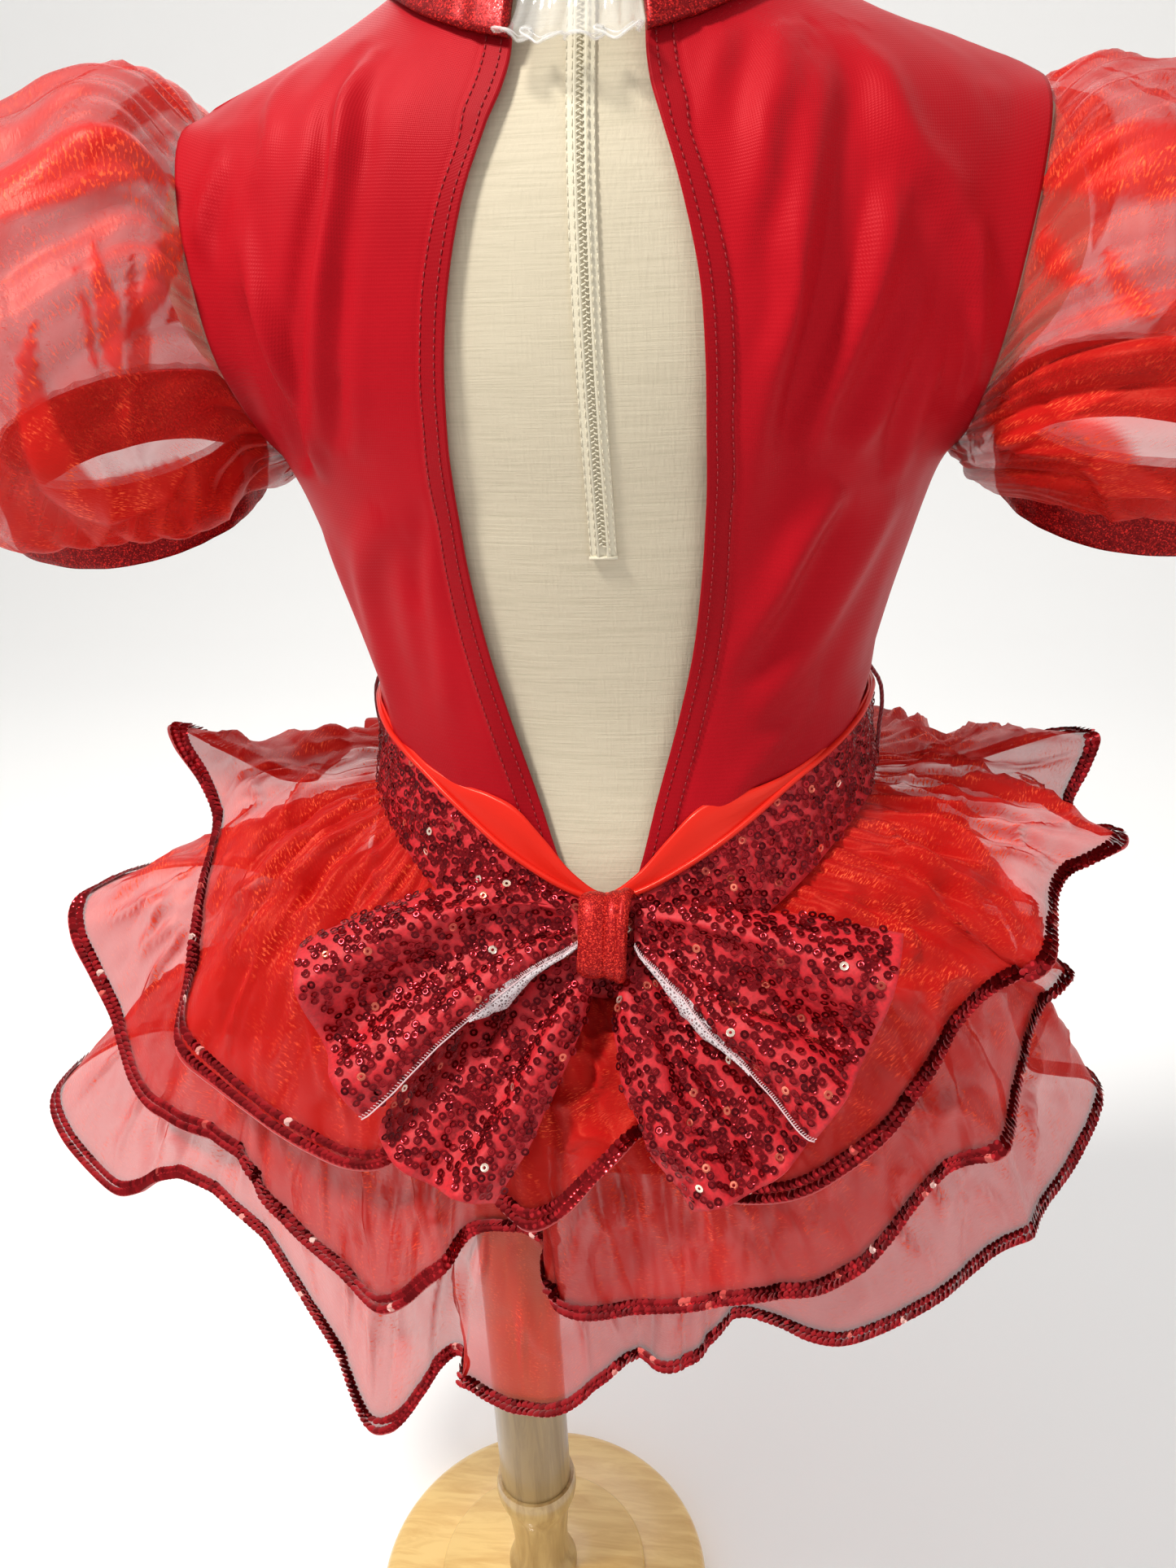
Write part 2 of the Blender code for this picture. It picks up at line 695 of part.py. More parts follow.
# Collar: a padded foil-lycra band, open at the back, and the clear strap that closes it
def build_collar():
    foil = material("red_foil", (0.24, 0.005, 0.01), 0.35, 0.4)
    clear = material("clear_plastic", (0.85, 0.86, 0.84), 0.12, 0.0, 0.35)
    rows = 2
    end_turn = math.asin(0.0205 / 0.066)
    start = math.pi / 2 + end_turn
    finish_turn = math.pi * 2.5 - end_turn
    columns = 38
    inner = []
    outer = []
    for r in range(rows + 1):
        inner.append([])
        outer.append([])
        for c in range(columns + 1):
            angle = start + (finish_turn - start) * c / columns
            level = collar_bottom(angle) + COLLAR_HEIGHT * r / rows
            roll = 1.0 - 0.45 * abs(2.0 * r / rows - 1.0) ** 2
            inner[-1].append(on_form(angle, level, COLLAR_CLEARANCE))
            outer[-1].append(on_form(angle, level, COLLAR_CLEARANCE + 0.001 + COLLAR_WALL * roll))
    wall("collar", inner, outer, foil)

    ridges = 4
    columns = 16
    rows = 3
    inner = []
    outer = []
    spare = 0.0007 / 0.066
    half_turn = end_turn - spare
    for r in range(rows + 1):
        inner.append([])
        outer.append([])
        for c in range(columns + 1):
            share = c / columns
            angle = math.pi / 2 - half_turn + 2.0 * half_turn * share
            ripple = math.sin(math.pi * share * 2 * ridges)
            flare = ease(1.0 - r)
            level = collar_bottom(angle) - 0.003 - 0.002 * ripple * flare + COLLAR_HEIGHT * r / rows
            off = COLLAR_CLEARANCE + 0.0006 * (1.0 + ripple) + 0.003 * flare * (1.0 + 0.6 * ripple)
            inner[-1].append(on_form(angle, level, off))
            outer[-1].append(on_form(angle, level, off + 0.001))
    wall("neck_strap", inner, outer, clear)


def armhole_edge(height, back, rows):
    """The middle of the panels' edge at the left armhole, between the panels' own rows."""
    i = max(k for k in range(len(rows) - 1) if rows[k] <= height)
    ends = []
    for level in (rows[i], rows[i + 1]):
        angle = angle_at(side_x(level), level, back)
        ends.append(on_form(angle, level, KNIT_CLEARANCE + KNIT_WALL / 2.0))
    return ends[0].lerp(ends[1], (height - rows[i]) / (rows[i + 1] - rows[i]))


# Puffed sleeves of organza, gathered into the armhole and into a foil cuff
def build_sleeve(name, side):
    organza = material("organza_" + name, (0.62, 0.05, 0.02), 0.4, 0.2, 0.7)
    foil = material("foil_" + name, (0.24, 0.005, 0.01), 0.35, 0.4)
    around = 26
    gathers = 8
    edge_rows = [h for h in BODY_HEIGHTS if UNDERARM_HEIGHT < h < ARMHOLE_TOP_HEIGHT]
    low = edge_rows[0] + 0.005
    high = edge_rows[-1]
    rings = []
    ring = []
    for k in range(around):
        swing = 2.0 * math.pi * k / around
        height = low + (high - low) * (1.0 - math.cos(swing)) / 2.0
        point = armhole_edge(height, math.sin(swing) >= 0.0, edge_rows)
        ring.append(point - BODY + Vector((ARMHOLE_STANDOFF, 0.0, 0.0)))
    rings.append(ring)
    for s, row in enumerate(SLEEVE_SECTIONS):
        near_x, near_height, far_x, far_height, half_depth, tilt = row
        full = SLEEVE_FULLNESS[name]
        near = Vector((near_x, 0.0, near_height))
        far = Vector((far_x, 0.0, ARMHOLE_MIDDLE + (far_height - ARMHOLE_MIDDLE) * full))
        ring = []
        ends = abs(s / (len(SLEEVE_SECTIONS) - 1) - 0.5)
        gather = 0.0008 + 0.0020 * (1.0 - ease(2.0 * ends)) + 0.0012 * (s < 2)
        for k in range(around):
            swing = 2.0 * math.pi * k / around
            outside = (1.0 - math.cos(swing)) / 2.0
            pucker = gather * outside * math.cos(gathers * swing + 0.5 * s)
            point = near.lerp(far, outside)
            point += (far - near).normalized() * (-math.cos(swing) * pucker)
            point.y = (half_depth + pucker) * math.sin(swing)
            point.z -= tilt * point.y
            ring.append(point)
        rings.append(ring)
    for widening, drop in ((0.0045, 0.004), (0.0, -0.0016)):
        radius = CUFF_RADIUS + widening
        ring = []
        for k in range(around):
            swing = 2.0 * math.pi * k / around
            y = radius * math.sin(swing)
            ring.append(Vector((CUFF_X - radius * math.cos(swing), y,
                                CUFF_TOP - drop - CUFF_TILT * y)))
        rings.append(ring)
    middle = [[BODY + Vector((p.x * side, p.y, p.z)) for p in ring] for ring in rings]
    thicken("sleeve_" + name, middle, ORGANZA_WALL, organza, closed=True)

    grids = []
    for off in (-CUFF_WALL / 2.0, CUFF_WALL / 2.0):
        grid = []
        for drop, flare in ((0.0016, 0.0), (CUFF_HEIGHT / 2, 0.0012), (CUFF_HEIGHT, 0.0004)):
            ring = []
            radius = CUFF_RADIUS + off + flare
            for k in range(around):
                swing = 2.0 * math.pi * k / around
                y = radius * math.sin(swing)
                level = CUFF_TOP - drop - CUFF_TILT * y
                x = CUFF_X - radius * math.cos(swing)
                ring.append(BODY + Vector((x * side, y, level)))
            grid.append(ring)
        grids.append(grid)
    wall("cuff_" + name, grids[0], grids[1], foil, closed=True)


# Belt: a sequinned band with a satin facing that rolls out above it at the back
def build_belt():
    sequin = material("sequin_jersey", (0.50, 0.01, 0.03), 0.35, 0.3)
    satin = material("red_satin", (0.80, 0.05, 0.01), 0.25)
    around = 44
    inner = [[], [], []]
    outer = [[], [], []]
    for r in range(3):
        for c in range(around):
            angle = 2.0 * math.pi * c / around
            level = belt_bottom(angle) + BELT_HEIGHT * r / 2.0
            inner[r].append(on_rows(angle, level, BELT_CLEARANCE))
            outer[r].append(on_rows(angle, level, BELT_CLEARANCE + BELT_WALL))
    wall("belt", inner, outer, sequin, closed=True)

    inner = [[], [], []]
    outer = [[], [], []]
    for r in range(3):
        for c in range(around):
            angle = 2.0 * math.pi * c / around
            level = belt_top(angle) - 0.012 + (0.012 + facing_show(angle)) * r / 2.0
            inner[r].append(on_rows(angle, level, SATIN_CLEARANCE))
            outer[r].append(on_rows(angle, level, SATIN_CLEARANCE + SATIN_WALL))
    wall("belt_facing", inner, outer, satin, closed=True)


# Thread loops that hold the belt at the side seams
def build_loops():
    thread = material("loop_thread", (0.28, 0.005, 0.01), 0.7)
    thickness = 0.0018
    for name, angle in (("left", 0.0), ("right", math.pi)):
        top = belt_top(angle) + 0.012
        bottom = belt_bottom(angle) + 0.003
        steps = 12
        start = KNIT_CLEARANCE + KNIT_WALL + thickness / 2.0 + SEAM_GAP
        end = BELT_CLEARANCE + BELT_WALL + thickness / 2.0 + SEAM_GAP
        points = []
        for k in range(steps + 1):
            share = k / steps
            level = top + (bottom - top) * share
            arch = math.sin(math.pi * share)
            off = start + (end - start) * ease(share * 3.0) + LOOP_STANDOFF * arch
            points.append(on_rows(angle, level, off))
        rings = []
        for k, point in enumerate(points):
            along = points[min(k + 1, steps)] - points[max(k - 1, 0)]
            out = along.cross(Vector((0.0, 1.0, 0.0))).normalized() * (thickness / 2.0)
            ring = []
            for c in range(6):
                turn = 2.0 * math.pi * c / 6
                ring.append(point + out * math.cos(turn)
                            + Vector((0.0, math.sin(turn) * thickness / 2.0, 0.0)))
            rings.append(ring)
        lofted("belt_loop_" + name, rings, thread)


def round_loop(values, share):
    """Smooth value along a closed list, share 0 to 1."""
    count = len(values)
    place = share * count
    i = int(math.floor(place)) % count
    t = place - math.floor(place)
    p0, p1, p2, p3 = (values[(i + k) % count] for k in (-1, 0, 1, 2))
    return 0.5 * (2 * p1 + (p2 - p0) * t + (2 * p0 - 5 * p1 + 4 * p2 - p3) * t ** 2
                  + (3 * p1 - p0 - 3 * p2 + p3) * t ** 3)


# Skirt: three organza ruffles gathered to the leotard under the belt
def build_tier(name, hem, drop):
    organza = material("organza_" + name, (0.62, 0.05, 0.02), 0.4, 0.2, 0.7)
    angles = column(hem, HEM_COLUMNS, "angle")
    steps = [(b - a) % 360 for a, b in zip(angles, angles[1:] + angles[:1])]
    edge_points = []
    for row in hem:
        fold = dict(zip(HEM_COLUMNS, row))
        turn = math.radians(fold["angle"] + fold["lean"])
        edge_points.append(Vector((fold["reach"] * math.cos(turn),
                                   fold["reach"] * math.sin(turn), fold["lift"])))
    edge = []
    roots = []
    for c in range(TIER_COLUMNS):
        share = c / TIER_COLUMNS
        edge.append(round_loop(edge_points, share))
        place = share * len(hem)
        i = int(place)
        roots.append(math.radians(angles[i] + steps[i] * (place - i)))
    calm = []
    reach = 6
    for c in range(TIER_COLUMNS):
        total = Vector((0.0, 0.0, 0.0))
        for k in range(-reach, reach + 1):
            total += edge[(c + k) % TIER_COLUMNS]
        calm.append(total / (2 * reach + 1))
    middle = []
    for t in TIER_ROWS:
        ring = []
        for c in range(TIER_COLUMNS):
            level = belt_bottom(roots[c]) - drop
            root = on_rows(roots[c], level, KNIT_CLEARANCE + KNIT_WALL + 0.0012) - BODY
            outward = Vector((calm[c].x - root.x, calm[c].y - root.y, 0.0))
            knee = root + outward * 0.62
            knee.z += 0.005 + 0.22 * (calm[c].z - root.z)
            point = root * (1 - t) ** 2 + knee * (2 * t * (1 - t)) + edge[c] * t * t
            ring.append(BODY + point)
        middle.append(ring)
    thicken(name, middle, ORGANZA_WALL, organza, closed=True)


def bow_point(across, down, rise):
    """A place on the bow: across and down in its plane, and off it."""
    downward = Vector((0.0, math.sin(BOW_LEAN), -math.cos(BOW_LEAN)))
    outward = Vector((0.0, math.cos(BOW_LEAN), math.sin(BOW_LEAN)))
    return BODY + BOW_MIDDLE + Vector((across, 0.0, 0.0)) + downward * down + outward * rise


def bow_edge(row, t):
    """A smooth edge from the knot to the hem through its middle point."""
    x1, y1, x2, y2, x3, y3 = row
    weights = ((1 - t) * (1 - 2 * t), 4 * t * (1 - t), t * (2 * t - 1))
    return (weights[0] * x1 + weights[1] * x2 + weights[2] * x3,
            weights[0] * y1 + weights[1] * y2 + weights[2] * y3)


# Bow: two wings over two tails, pleated into a foil knot
def build_bow():
    sequin = material("bow_sequin", (0.55, 0.01, 0.04), 0.35, 0.3)
    foil = material("knot_foil", (0.45, 0.01, 0.02), 0.3, 0.3)
    columns = 8
    rows = 4
    for name, (first, second) in BOW_EDGES.items():
        pleats = WING_PLEATS if "wing" in name else TAIL_PLEATS
        knot_rise = 0.0075 if "wing" in name else 0.0015
        middle = []
        for r in range(rows + 1):
            t = r / rows
            x1, y1 = bow_edge(first, t)
            x2, y2 = bow_edge(second, t)
            line = []
            for c in range(columns + 1):
                s = c / columns
                rise = from_table(pleats, PLEAT_COLUMNS, "rise", s)
                lift = knot_rise * (1.0 - t) + rise * t ** 0.8
                bulge = 1.0 + 0.05 * math.sin(math.pi * s) * t
                line.append(bow_point((x1 + (x2 - x1) * s) * bulge, (y1 + (y2 - y1) * s) * bulge, lift))
            middle.append(line)
        thicken(name, middle, BOW_WALL, sequin)
    rings = []
    around = 12
    steps = 8
    for k in range(steps + 1):
        share = -1.0 + 2.0 * k / steps
        size = math.sqrt(max(0.05, 1.0 - abs(share) ** 3))
        ring = []
        for c in range(around):
            turn = 2.0 * math.pi * c / around
            crease = 1.0 + 0.05 * math.cos(3 * turn)
            across = 0.0101 * size * crease * math.copysign(abs(math.cos(turn)) ** 0.7, math.cos(turn))
            rise = 0.0034 + 0.012 * size * math.copysign(abs(math.sin(turn)) ** 0.7, math.sin(turn))
            ring.append(bow_point(across, 0.0165 * share + 0.001, rise))
        rings.append(ring)
    lofted("bow_knot", rings, foil)


build_stand()
build_form()
build_leotard()
build_collar()
build_sleeve("left", 1.0)
build_sleeve("right", -1.0)
build_belt()
build_loops()
build_tier("skirt_tier_1", TIER_1_HEM, TIER_DROPS[0])
build_tier("skirt_tier_2", TIER_2_HEM, TIER_DROPS[1])
build_tier("skirt_tier_3", TIER_3_HEM, TIER_DROPS[2])
build_bow()
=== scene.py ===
"""A child's skirted leotard, shown from the back on its dress form and turned wooden stand.

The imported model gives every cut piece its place. Each cloth here is laid on the wall of its own
piece, with the finer folds, stitches, sequins and trims that the cloth carries.
"""

import math
import random

import bmesh
import bpy
import numpy as np
from mathutils import Matrix, Vector
from mathutils.bvhtree import BVHTree


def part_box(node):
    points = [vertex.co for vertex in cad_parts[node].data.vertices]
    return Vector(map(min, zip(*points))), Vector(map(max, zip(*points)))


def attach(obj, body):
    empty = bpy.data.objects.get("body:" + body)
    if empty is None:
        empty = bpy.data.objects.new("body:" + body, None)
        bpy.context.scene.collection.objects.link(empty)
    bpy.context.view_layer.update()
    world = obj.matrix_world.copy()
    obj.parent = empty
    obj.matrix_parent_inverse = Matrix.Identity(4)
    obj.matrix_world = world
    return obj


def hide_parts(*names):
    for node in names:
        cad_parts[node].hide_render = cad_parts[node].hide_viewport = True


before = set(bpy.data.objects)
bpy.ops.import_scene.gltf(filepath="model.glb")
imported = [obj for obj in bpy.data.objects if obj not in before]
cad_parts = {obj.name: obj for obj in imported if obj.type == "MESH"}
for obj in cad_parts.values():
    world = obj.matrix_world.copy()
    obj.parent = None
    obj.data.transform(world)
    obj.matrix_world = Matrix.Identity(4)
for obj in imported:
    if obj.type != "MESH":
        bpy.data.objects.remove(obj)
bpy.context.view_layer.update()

# Light, floor and camera: a pale sweep under a broad soft key light from the upper left, and the
# camera behind the wearer's left shoulder, looking down as the maker's picture does.
BODY_AXIS = Vector((-0.066, -0.014, 0.578))
CAMERA_PLACE = BODY_AXIS + Vector((-0.0554, 0.5302, 0.2150))
CAMERA_LENS = 29.66
CAMERA_YAW, CAMERA_PITCH, CAMERA_ROLL = (math.radians(a) for a in (-7.81, 24.56, -2.71))


def camera_turn():
    """The camera's axes: turned about the upright, tipped down, then rolled."""
    level = Matrix(((-1, 0, 0), (0, 0, -1), (0, -1, 0)))
    yaw = Matrix.Rotation(CAMERA_YAW, 3, "Z")
    pitch = Matrix.Rotation(CAMERA_PITCH, 3, "X")
    roll = Matrix.Rotation(CAMERA_ROLL, 3, "Z")
    right, down, forward = roll @ pitch @ level @ yaw
    return Matrix((right, -down, -forward)).transposed()


camera = bpy.data.objects.new("camera", bpy.data.cameras.new("camera"))
camera.data.lens = CAMERA_LENS
camera.data.sensor_width = 36.0
camera.data.clip_start = 0.01
camera.matrix_world = Matrix.Translation(CAMERA_PLACE) @ camera_turn().to_4x4()
bpy.context.scene.collection.objects.link(camera)
bpy.context.scene.camera = camera
bpy.context.scene.view_settings.view_transform = "Standard"
bpy.context.scene.cycles.transparent_max_bounces = 32


def soft_light(name, place, size, power, colour=(1.0, 1.0, 1.0)):
    lamp = bpy.data.lights.new(name, "AREA")
    lamp.shape = "DISK"
    lamp.size = size
    lamp.energy = power
    lamp.color = colour
    light = bpy.data.objects.new(name, lamp)
    light.location = place
    aim = Vector((-0.06, 0.0, 0.55)) - Vector(place)
    light.rotation_mode = "QUATERNION"
    light.rotation_quaternion = aim.to_track_quat("-Z", "Y")
    bpy.context.scene.collection.objects.link(light)


soft_light("key_light", (0.72, 0.64, 2.12), 0.30, 36.0, (1.0, 0.97, 0.92))
soft_light("fill_light", (-1.5, 1.4, 1.1), 1.4, 5.0)
soft_light("rim_light", (0.2, -1.4, 1.7), 1.4, 8.0)

world = bpy.data.worlds.new("studio")
bpy.context.scene.world = world
world.use_nodes = True
world.node_tree.nodes["Background"].inputs["Color"].default_value = (1.0, 0.99, 0.98, 1.0)
world.node_tree.nodes["Background"].inputs["Strength"].default_value = 0.60


def finish(name, colour, roughness, **sockets):
    """A Principled material, with its node tree's links and shader to hand."""
    made = bpy.data.materials.new(name)
    made.use_nodes = True
    shader = made.node_tree.nodes["Principled BSDF"]
    shader.inputs["Base Color"].default_value = (*colour, 1.0)
    shader.inputs["Roughness"].default_value = roughness
    for key, value in sockets.items():
        shader.inputs[key.replace("_", " ").title().replace("Ior", "IOR")].default_value = value
    return made, made.node_tree.nodes, made.node_tree.links, shader


def floor_mesh():
    """A floor that turns up into a wall far behind the object."""
    bm = bmesh.new()
    profile = [(3.0, 0.0), (-1.6, 0.0)]
    for k in range(1, 9):
        turn = math.pi / 2 * k / 8
        profile.append((-1.6 - 1.0 * math.sin(turn), 1.0 - 1.0 * math.cos(turn)))
    profile.append((-2.6, 3.5))
    rows = [[bm.verts.new((x, y, z)) for y, z in profile] for x in (-4.0, 4.0)]
    for k in range(len(profile) - 1):
        bm.faces.new((rows[0][k], rows[0][k + 1], rows[1][k + 1], rows[1][k])).smooth = True
    mesh = bpy.data.meshes.new("floor")
    bm.to_mesh(mesh)
    bm.free()
    return mesh


floor = bpy.data.objects.new("floor", floor_mesh())
bpy.context.scene.collection.objects.link(floor)
floor.data.materials.append(finish("pale_floor", (0.96, 0.96, 0.955), 0.9)[0])


# The stand: a round base, a raised disc, a turned foot and a post, all of pale varnished wood.
# The lathe leaves the grain running across the base and along the post. The post and the foot take
# darker copies of the wood: painted shade, deepest on the post.
def named_node(nodes, kind, **values):
    """A shader node with its inputs set by name."""
    node = nodes.new(kind)
    for key, value in values.items():
        label = key.replace("_", " ")
        if label in node.inputs:
            node.inputs[label].default_value = value
        else:
            setattr(node, key, value)
    return node


def ramp(nodes, links, source, stops, into=None):
    """Colours along a factor, as (place, colour) pairs, led into a socket of the shader."""
    node = nodes.new("ShaderNodeValToRGB")
    while len(node.color_ramp.elements) < len(stops):
        node.color_ramp.elements.new(1.0)
    for element, (place, colour) in zip(node.color_ramp.elements, stops):
        element.position = place
        element.color = (*colour, 1.0) if len(colour) == 3 else colour
    links.new(source, node.inputs["Fac"])
    if into is not None:
        links.new(node.outputs["Color"], into)
    return node


def pattern(nodes, links, kind, stretch=None, weave=False, **values):
    """A texture laid over the piece, or along its threads if it follows the weave."""
    if weave:
        place = named_node(nodes, "ShaderNodeUVMap", uv_map="weave").outputs["UV"]
    else:
        place = nodes.new("ShaderNodeTexCoord").outputs["Object"]
    if stretch is not None:
        mapping = nodes.new("ShaderNodeMapping")
        mapping.inputs["Scale"].default_value = stretch
        links.new(place, mapping.inputs["Vector"])
        place = mapping.outputs["Vector"]
    texture = named_node(nodes, kind, **values)
    links.new(place, texture.inputs["Vector"])
    return texture


def relief(nodes, links, shader, height, distance, strength):
    bump = named_node(nodes, "ShaderNodeBump", Strength=strength, Distance=distance)
    links.new(height, bump.inputs["Height"])
    links.new(bump.outputs["Normal"], shader.inputs["Normal"])


def wood(name, light, dark, along, grain_scale):
    made, nodes, links, shader = finish(name, light, 0.33, coat_weight=0.5, coat_roughness=0.12)
    grain = pattern(nodes, links, "ShaderNodeTexNoise", stretch=along,
                    Scale=grain_scale, Detail=6.0, Roughness=0.62, Distortion=0.6)
    between = tuple(0.5 * (a + b) for a, b in zip(light, dark))
    ramp(nodes, links, grain.outputs["Fac"], [(0.30, dark), (0.47, between), (0.60, light)],
         shader.inputs["Base Color"])
    relief(nodes, links, shader, grain.outputs["Fac"], 0.0002, 0.5)
    return made


base_wood = wood("base_wood", (0.76, 0.52, 0.19), (0.60, 0.35, 0.10), (1.0, 6.0, 1.0), 22.0)
# Painted shade: the post, and less so the foot, are darker copies of the base's wood.
post_wood_painted_shade = wood("post_wood_painted_shade", (0.31, 0.20, 0.075), (0.20, 0.12, 0.04), (6.0, 6.0, 0.5), 26.0)
foot_wood_painted_shade = wood("foot_wood_painted_shade", (0.50, 0.34, 0.14), (0.33, 0.20, 0.07), (6.0, 6.0, 0.6), 26.0)


def welded(node):
    """The node's mesh as a bmesh, with its split corners joined."""
    bm = bmesh.new()
    bm.from_mesh(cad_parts[node].data)
    bmesh.ops.remove_doubles(bm, verts=bm.verts, dist=0.00002)
    bm.faces.ensure_lookup_table()
    return bm


def show(name, mesh, material, slot, *nodes, smooth=True):
    """Put a mesh on the body as a finished piece, in place of the nodes it is made on."""
    if smooth:
        mesh.shade_smooth()
    mesh.materials.clear()
    mesh.materials.append(material)
    piece = bpy.data.objects.new(name, mesh)
    bpy.context.scene.collection.objects.link(piece)
    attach(piece, "root")
    if nodes:
        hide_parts(*nodes)
    return piece


LATHE_SIDES = 96


def turned_piece(name, node, material, bevel):
    """A lathe-turned piece: its profile read from the node, cut again with fine steps."""
    bm = welded(node)
    rings = {}
    for vert in bm.verts:
        radius = math.hypot(vert.co.x, vert.co.y)
        level = round(vert.co.z, 5)
        rings[level] = max(rings.get(level, 0.0), radius)
    bm.free()
    profile = sorted((level, radius) for level, radius in rings.items() if radius > 0.001)
    fine = []
    for (z0, r0), (z1, r1) in zip(profile, profile[1:]):
        steps = max(1, int(math.hypot(z1 - z0, r1 - r0) / bevel))
        fine += [(z0 + (z1 - z0) * k / steps, r0 + (r1 - r0) * k / steps) for k in range(steps)]
    fine.append(profile[-1])
    for smoothing in range(3):
        inner = fine[1:-1]
        inner = [((a[0] + 2 * b[0] + c[0]) / 4, (a[1] + 2 * b[1] + c[1]) / 4)
                 for a, b, c in zip(fine, inner, fine[2:])]
        fine = [fine[0]] + inner + [fine[-1]]
    bm = bmesh.new()
    loops = []
    turns = [2 * math.pi * k / LATHE_SIDES for k in range(LATHE_SIDES)]
    for level, radius in fine:
        loops.append([bm.verts.new((radius * math.cos(turn), radius * math.sin(turn), level))
                      for turn in turns])
    for low, high in zip(loops, loops[1:]):
        for k in range(LATHE_SIDES):
            after = (k + 1) % LATHE_SIDES
            bm.faces.new((low[k], low[after], high[after], high[k]))
    bm.faces.new(loops[0][::-1])
    bm.faces.new(loops[-1])
    mesh = bpy.data.meshes.new(name)
    bm.to_mesh(mesh)
    bm.free()
    show(name, mesh, material, "wood", node)
    mesh.set_sharp_from_angle(angle=math.radians(60))


turned_piece("base_turned", "stand_base", base_wood, 0.0012)
turned_piece("disc_turned", "stand_disc", base_wood, 0.0008)
turned_piece("foot_turned", "stand_foot", foot_wood_painted_shade, 0.0030)
turned_piece("post_turned", "stand_post", post_wood_painted_shade, 0.0100)


# Reading a sewn piece: every cloth node is a thin wall, made of a grid of points on each side.
# Its outer side is taken as rows of points, so that the finished cloth follows the same shape.
def wall_edges(bm, limit):
    """The short edges that cross from one side of the wall to the other."""
    shortest, longest = limit if isinstance(limit, tuple) else (0.0, limit)
    found = set()
    for edge in bm.edges:
        way = edge.verts[0].co - edge.verts[1].co
        if not shortest < way.length < longest:
            continue
        way.normalize()
        lines = []
        for vert in edge.verts:
            around = [f for f in vert.link_faces if edge not in list(f.edges)]
            side = sum((f.normal * f.calc_area() for f in around), Vector())
            lines.append(abs(side.normalized().dot(way)))
        if min(lines) > 0.5 or shortest > 0.0:
            found.add(edge)
    return found


def outer_quads(bm, wall, outward):
    """The four-cornered faces of the wall's outer side, from its triangles."""
    rim = wall_edges(bm, wall)
    islands = []
    left = set(face for face in bm.faces if not any(edge in rim for edge in face.edges))
    while left:
        island = [left.pop()]
        for face in island:
            for edge in face.edges:
                for other in edge.link_faces:
                    if other in left:
                        left.discard(other)
                        island.append(other)
        islands.append(island)
    islands.sort(key=len)
    sides = islands[-2:] if len(islands) > 1 else islands

    def facing(island):
        return sum(face.calc_area() * face.normal.dot(outward(face.calc_center_median())) for face in island)
    side = set(max(sides, key=facing))
    seed = next(iter(sorted(side, key=lambda f: -f.calc_area())))
    for diagonal in seed.edges:
        split = {seed: diagonal}
        queue = [seed]
        whole = True
        for face in queue:
            across = split[face]
            for edge in face.edges:
                if edge is across:
                    continue
                for other in edge.link_faces:
                    if other is face or other not in side:
                        continue
                    corner = next(v for v in edge.verts if v not in across.verts)
                    third = next(v for v in other.verts if v not in edge.verts)
                    cut = next(e for e in other.edges if corner in e.verts and third in e.verts)
                    if other not in split:
                        split[other] = cut
                        queue.append(other)
                    elif split[other] is not cut:
                        whole = False
            for other in across.link_faces:
                if other is not face and other in side:
                    if other not in split:
                        split[other] = across
                        queue.append(other)
                    elif split[other] is not across:
                        whole = False
            if not whole:
                break
        if whole and all(sum(f in side for f in edge.link_faces) == 2 for edge in split.values()):
            break
    quads = []
    for face, edge in split.items():
        pair = [f for f in edge.link_faces if f in side]
        if len(pair) == 2 and pair[0] is face:
            a, b = edge.verts
            third = next(v for v in face.verts if v not in edge.verts)
            fourth = next(v for v in pair[1].verts if v not in edge.verts)
            quads.append((a, third, b, fourth))
    return quads


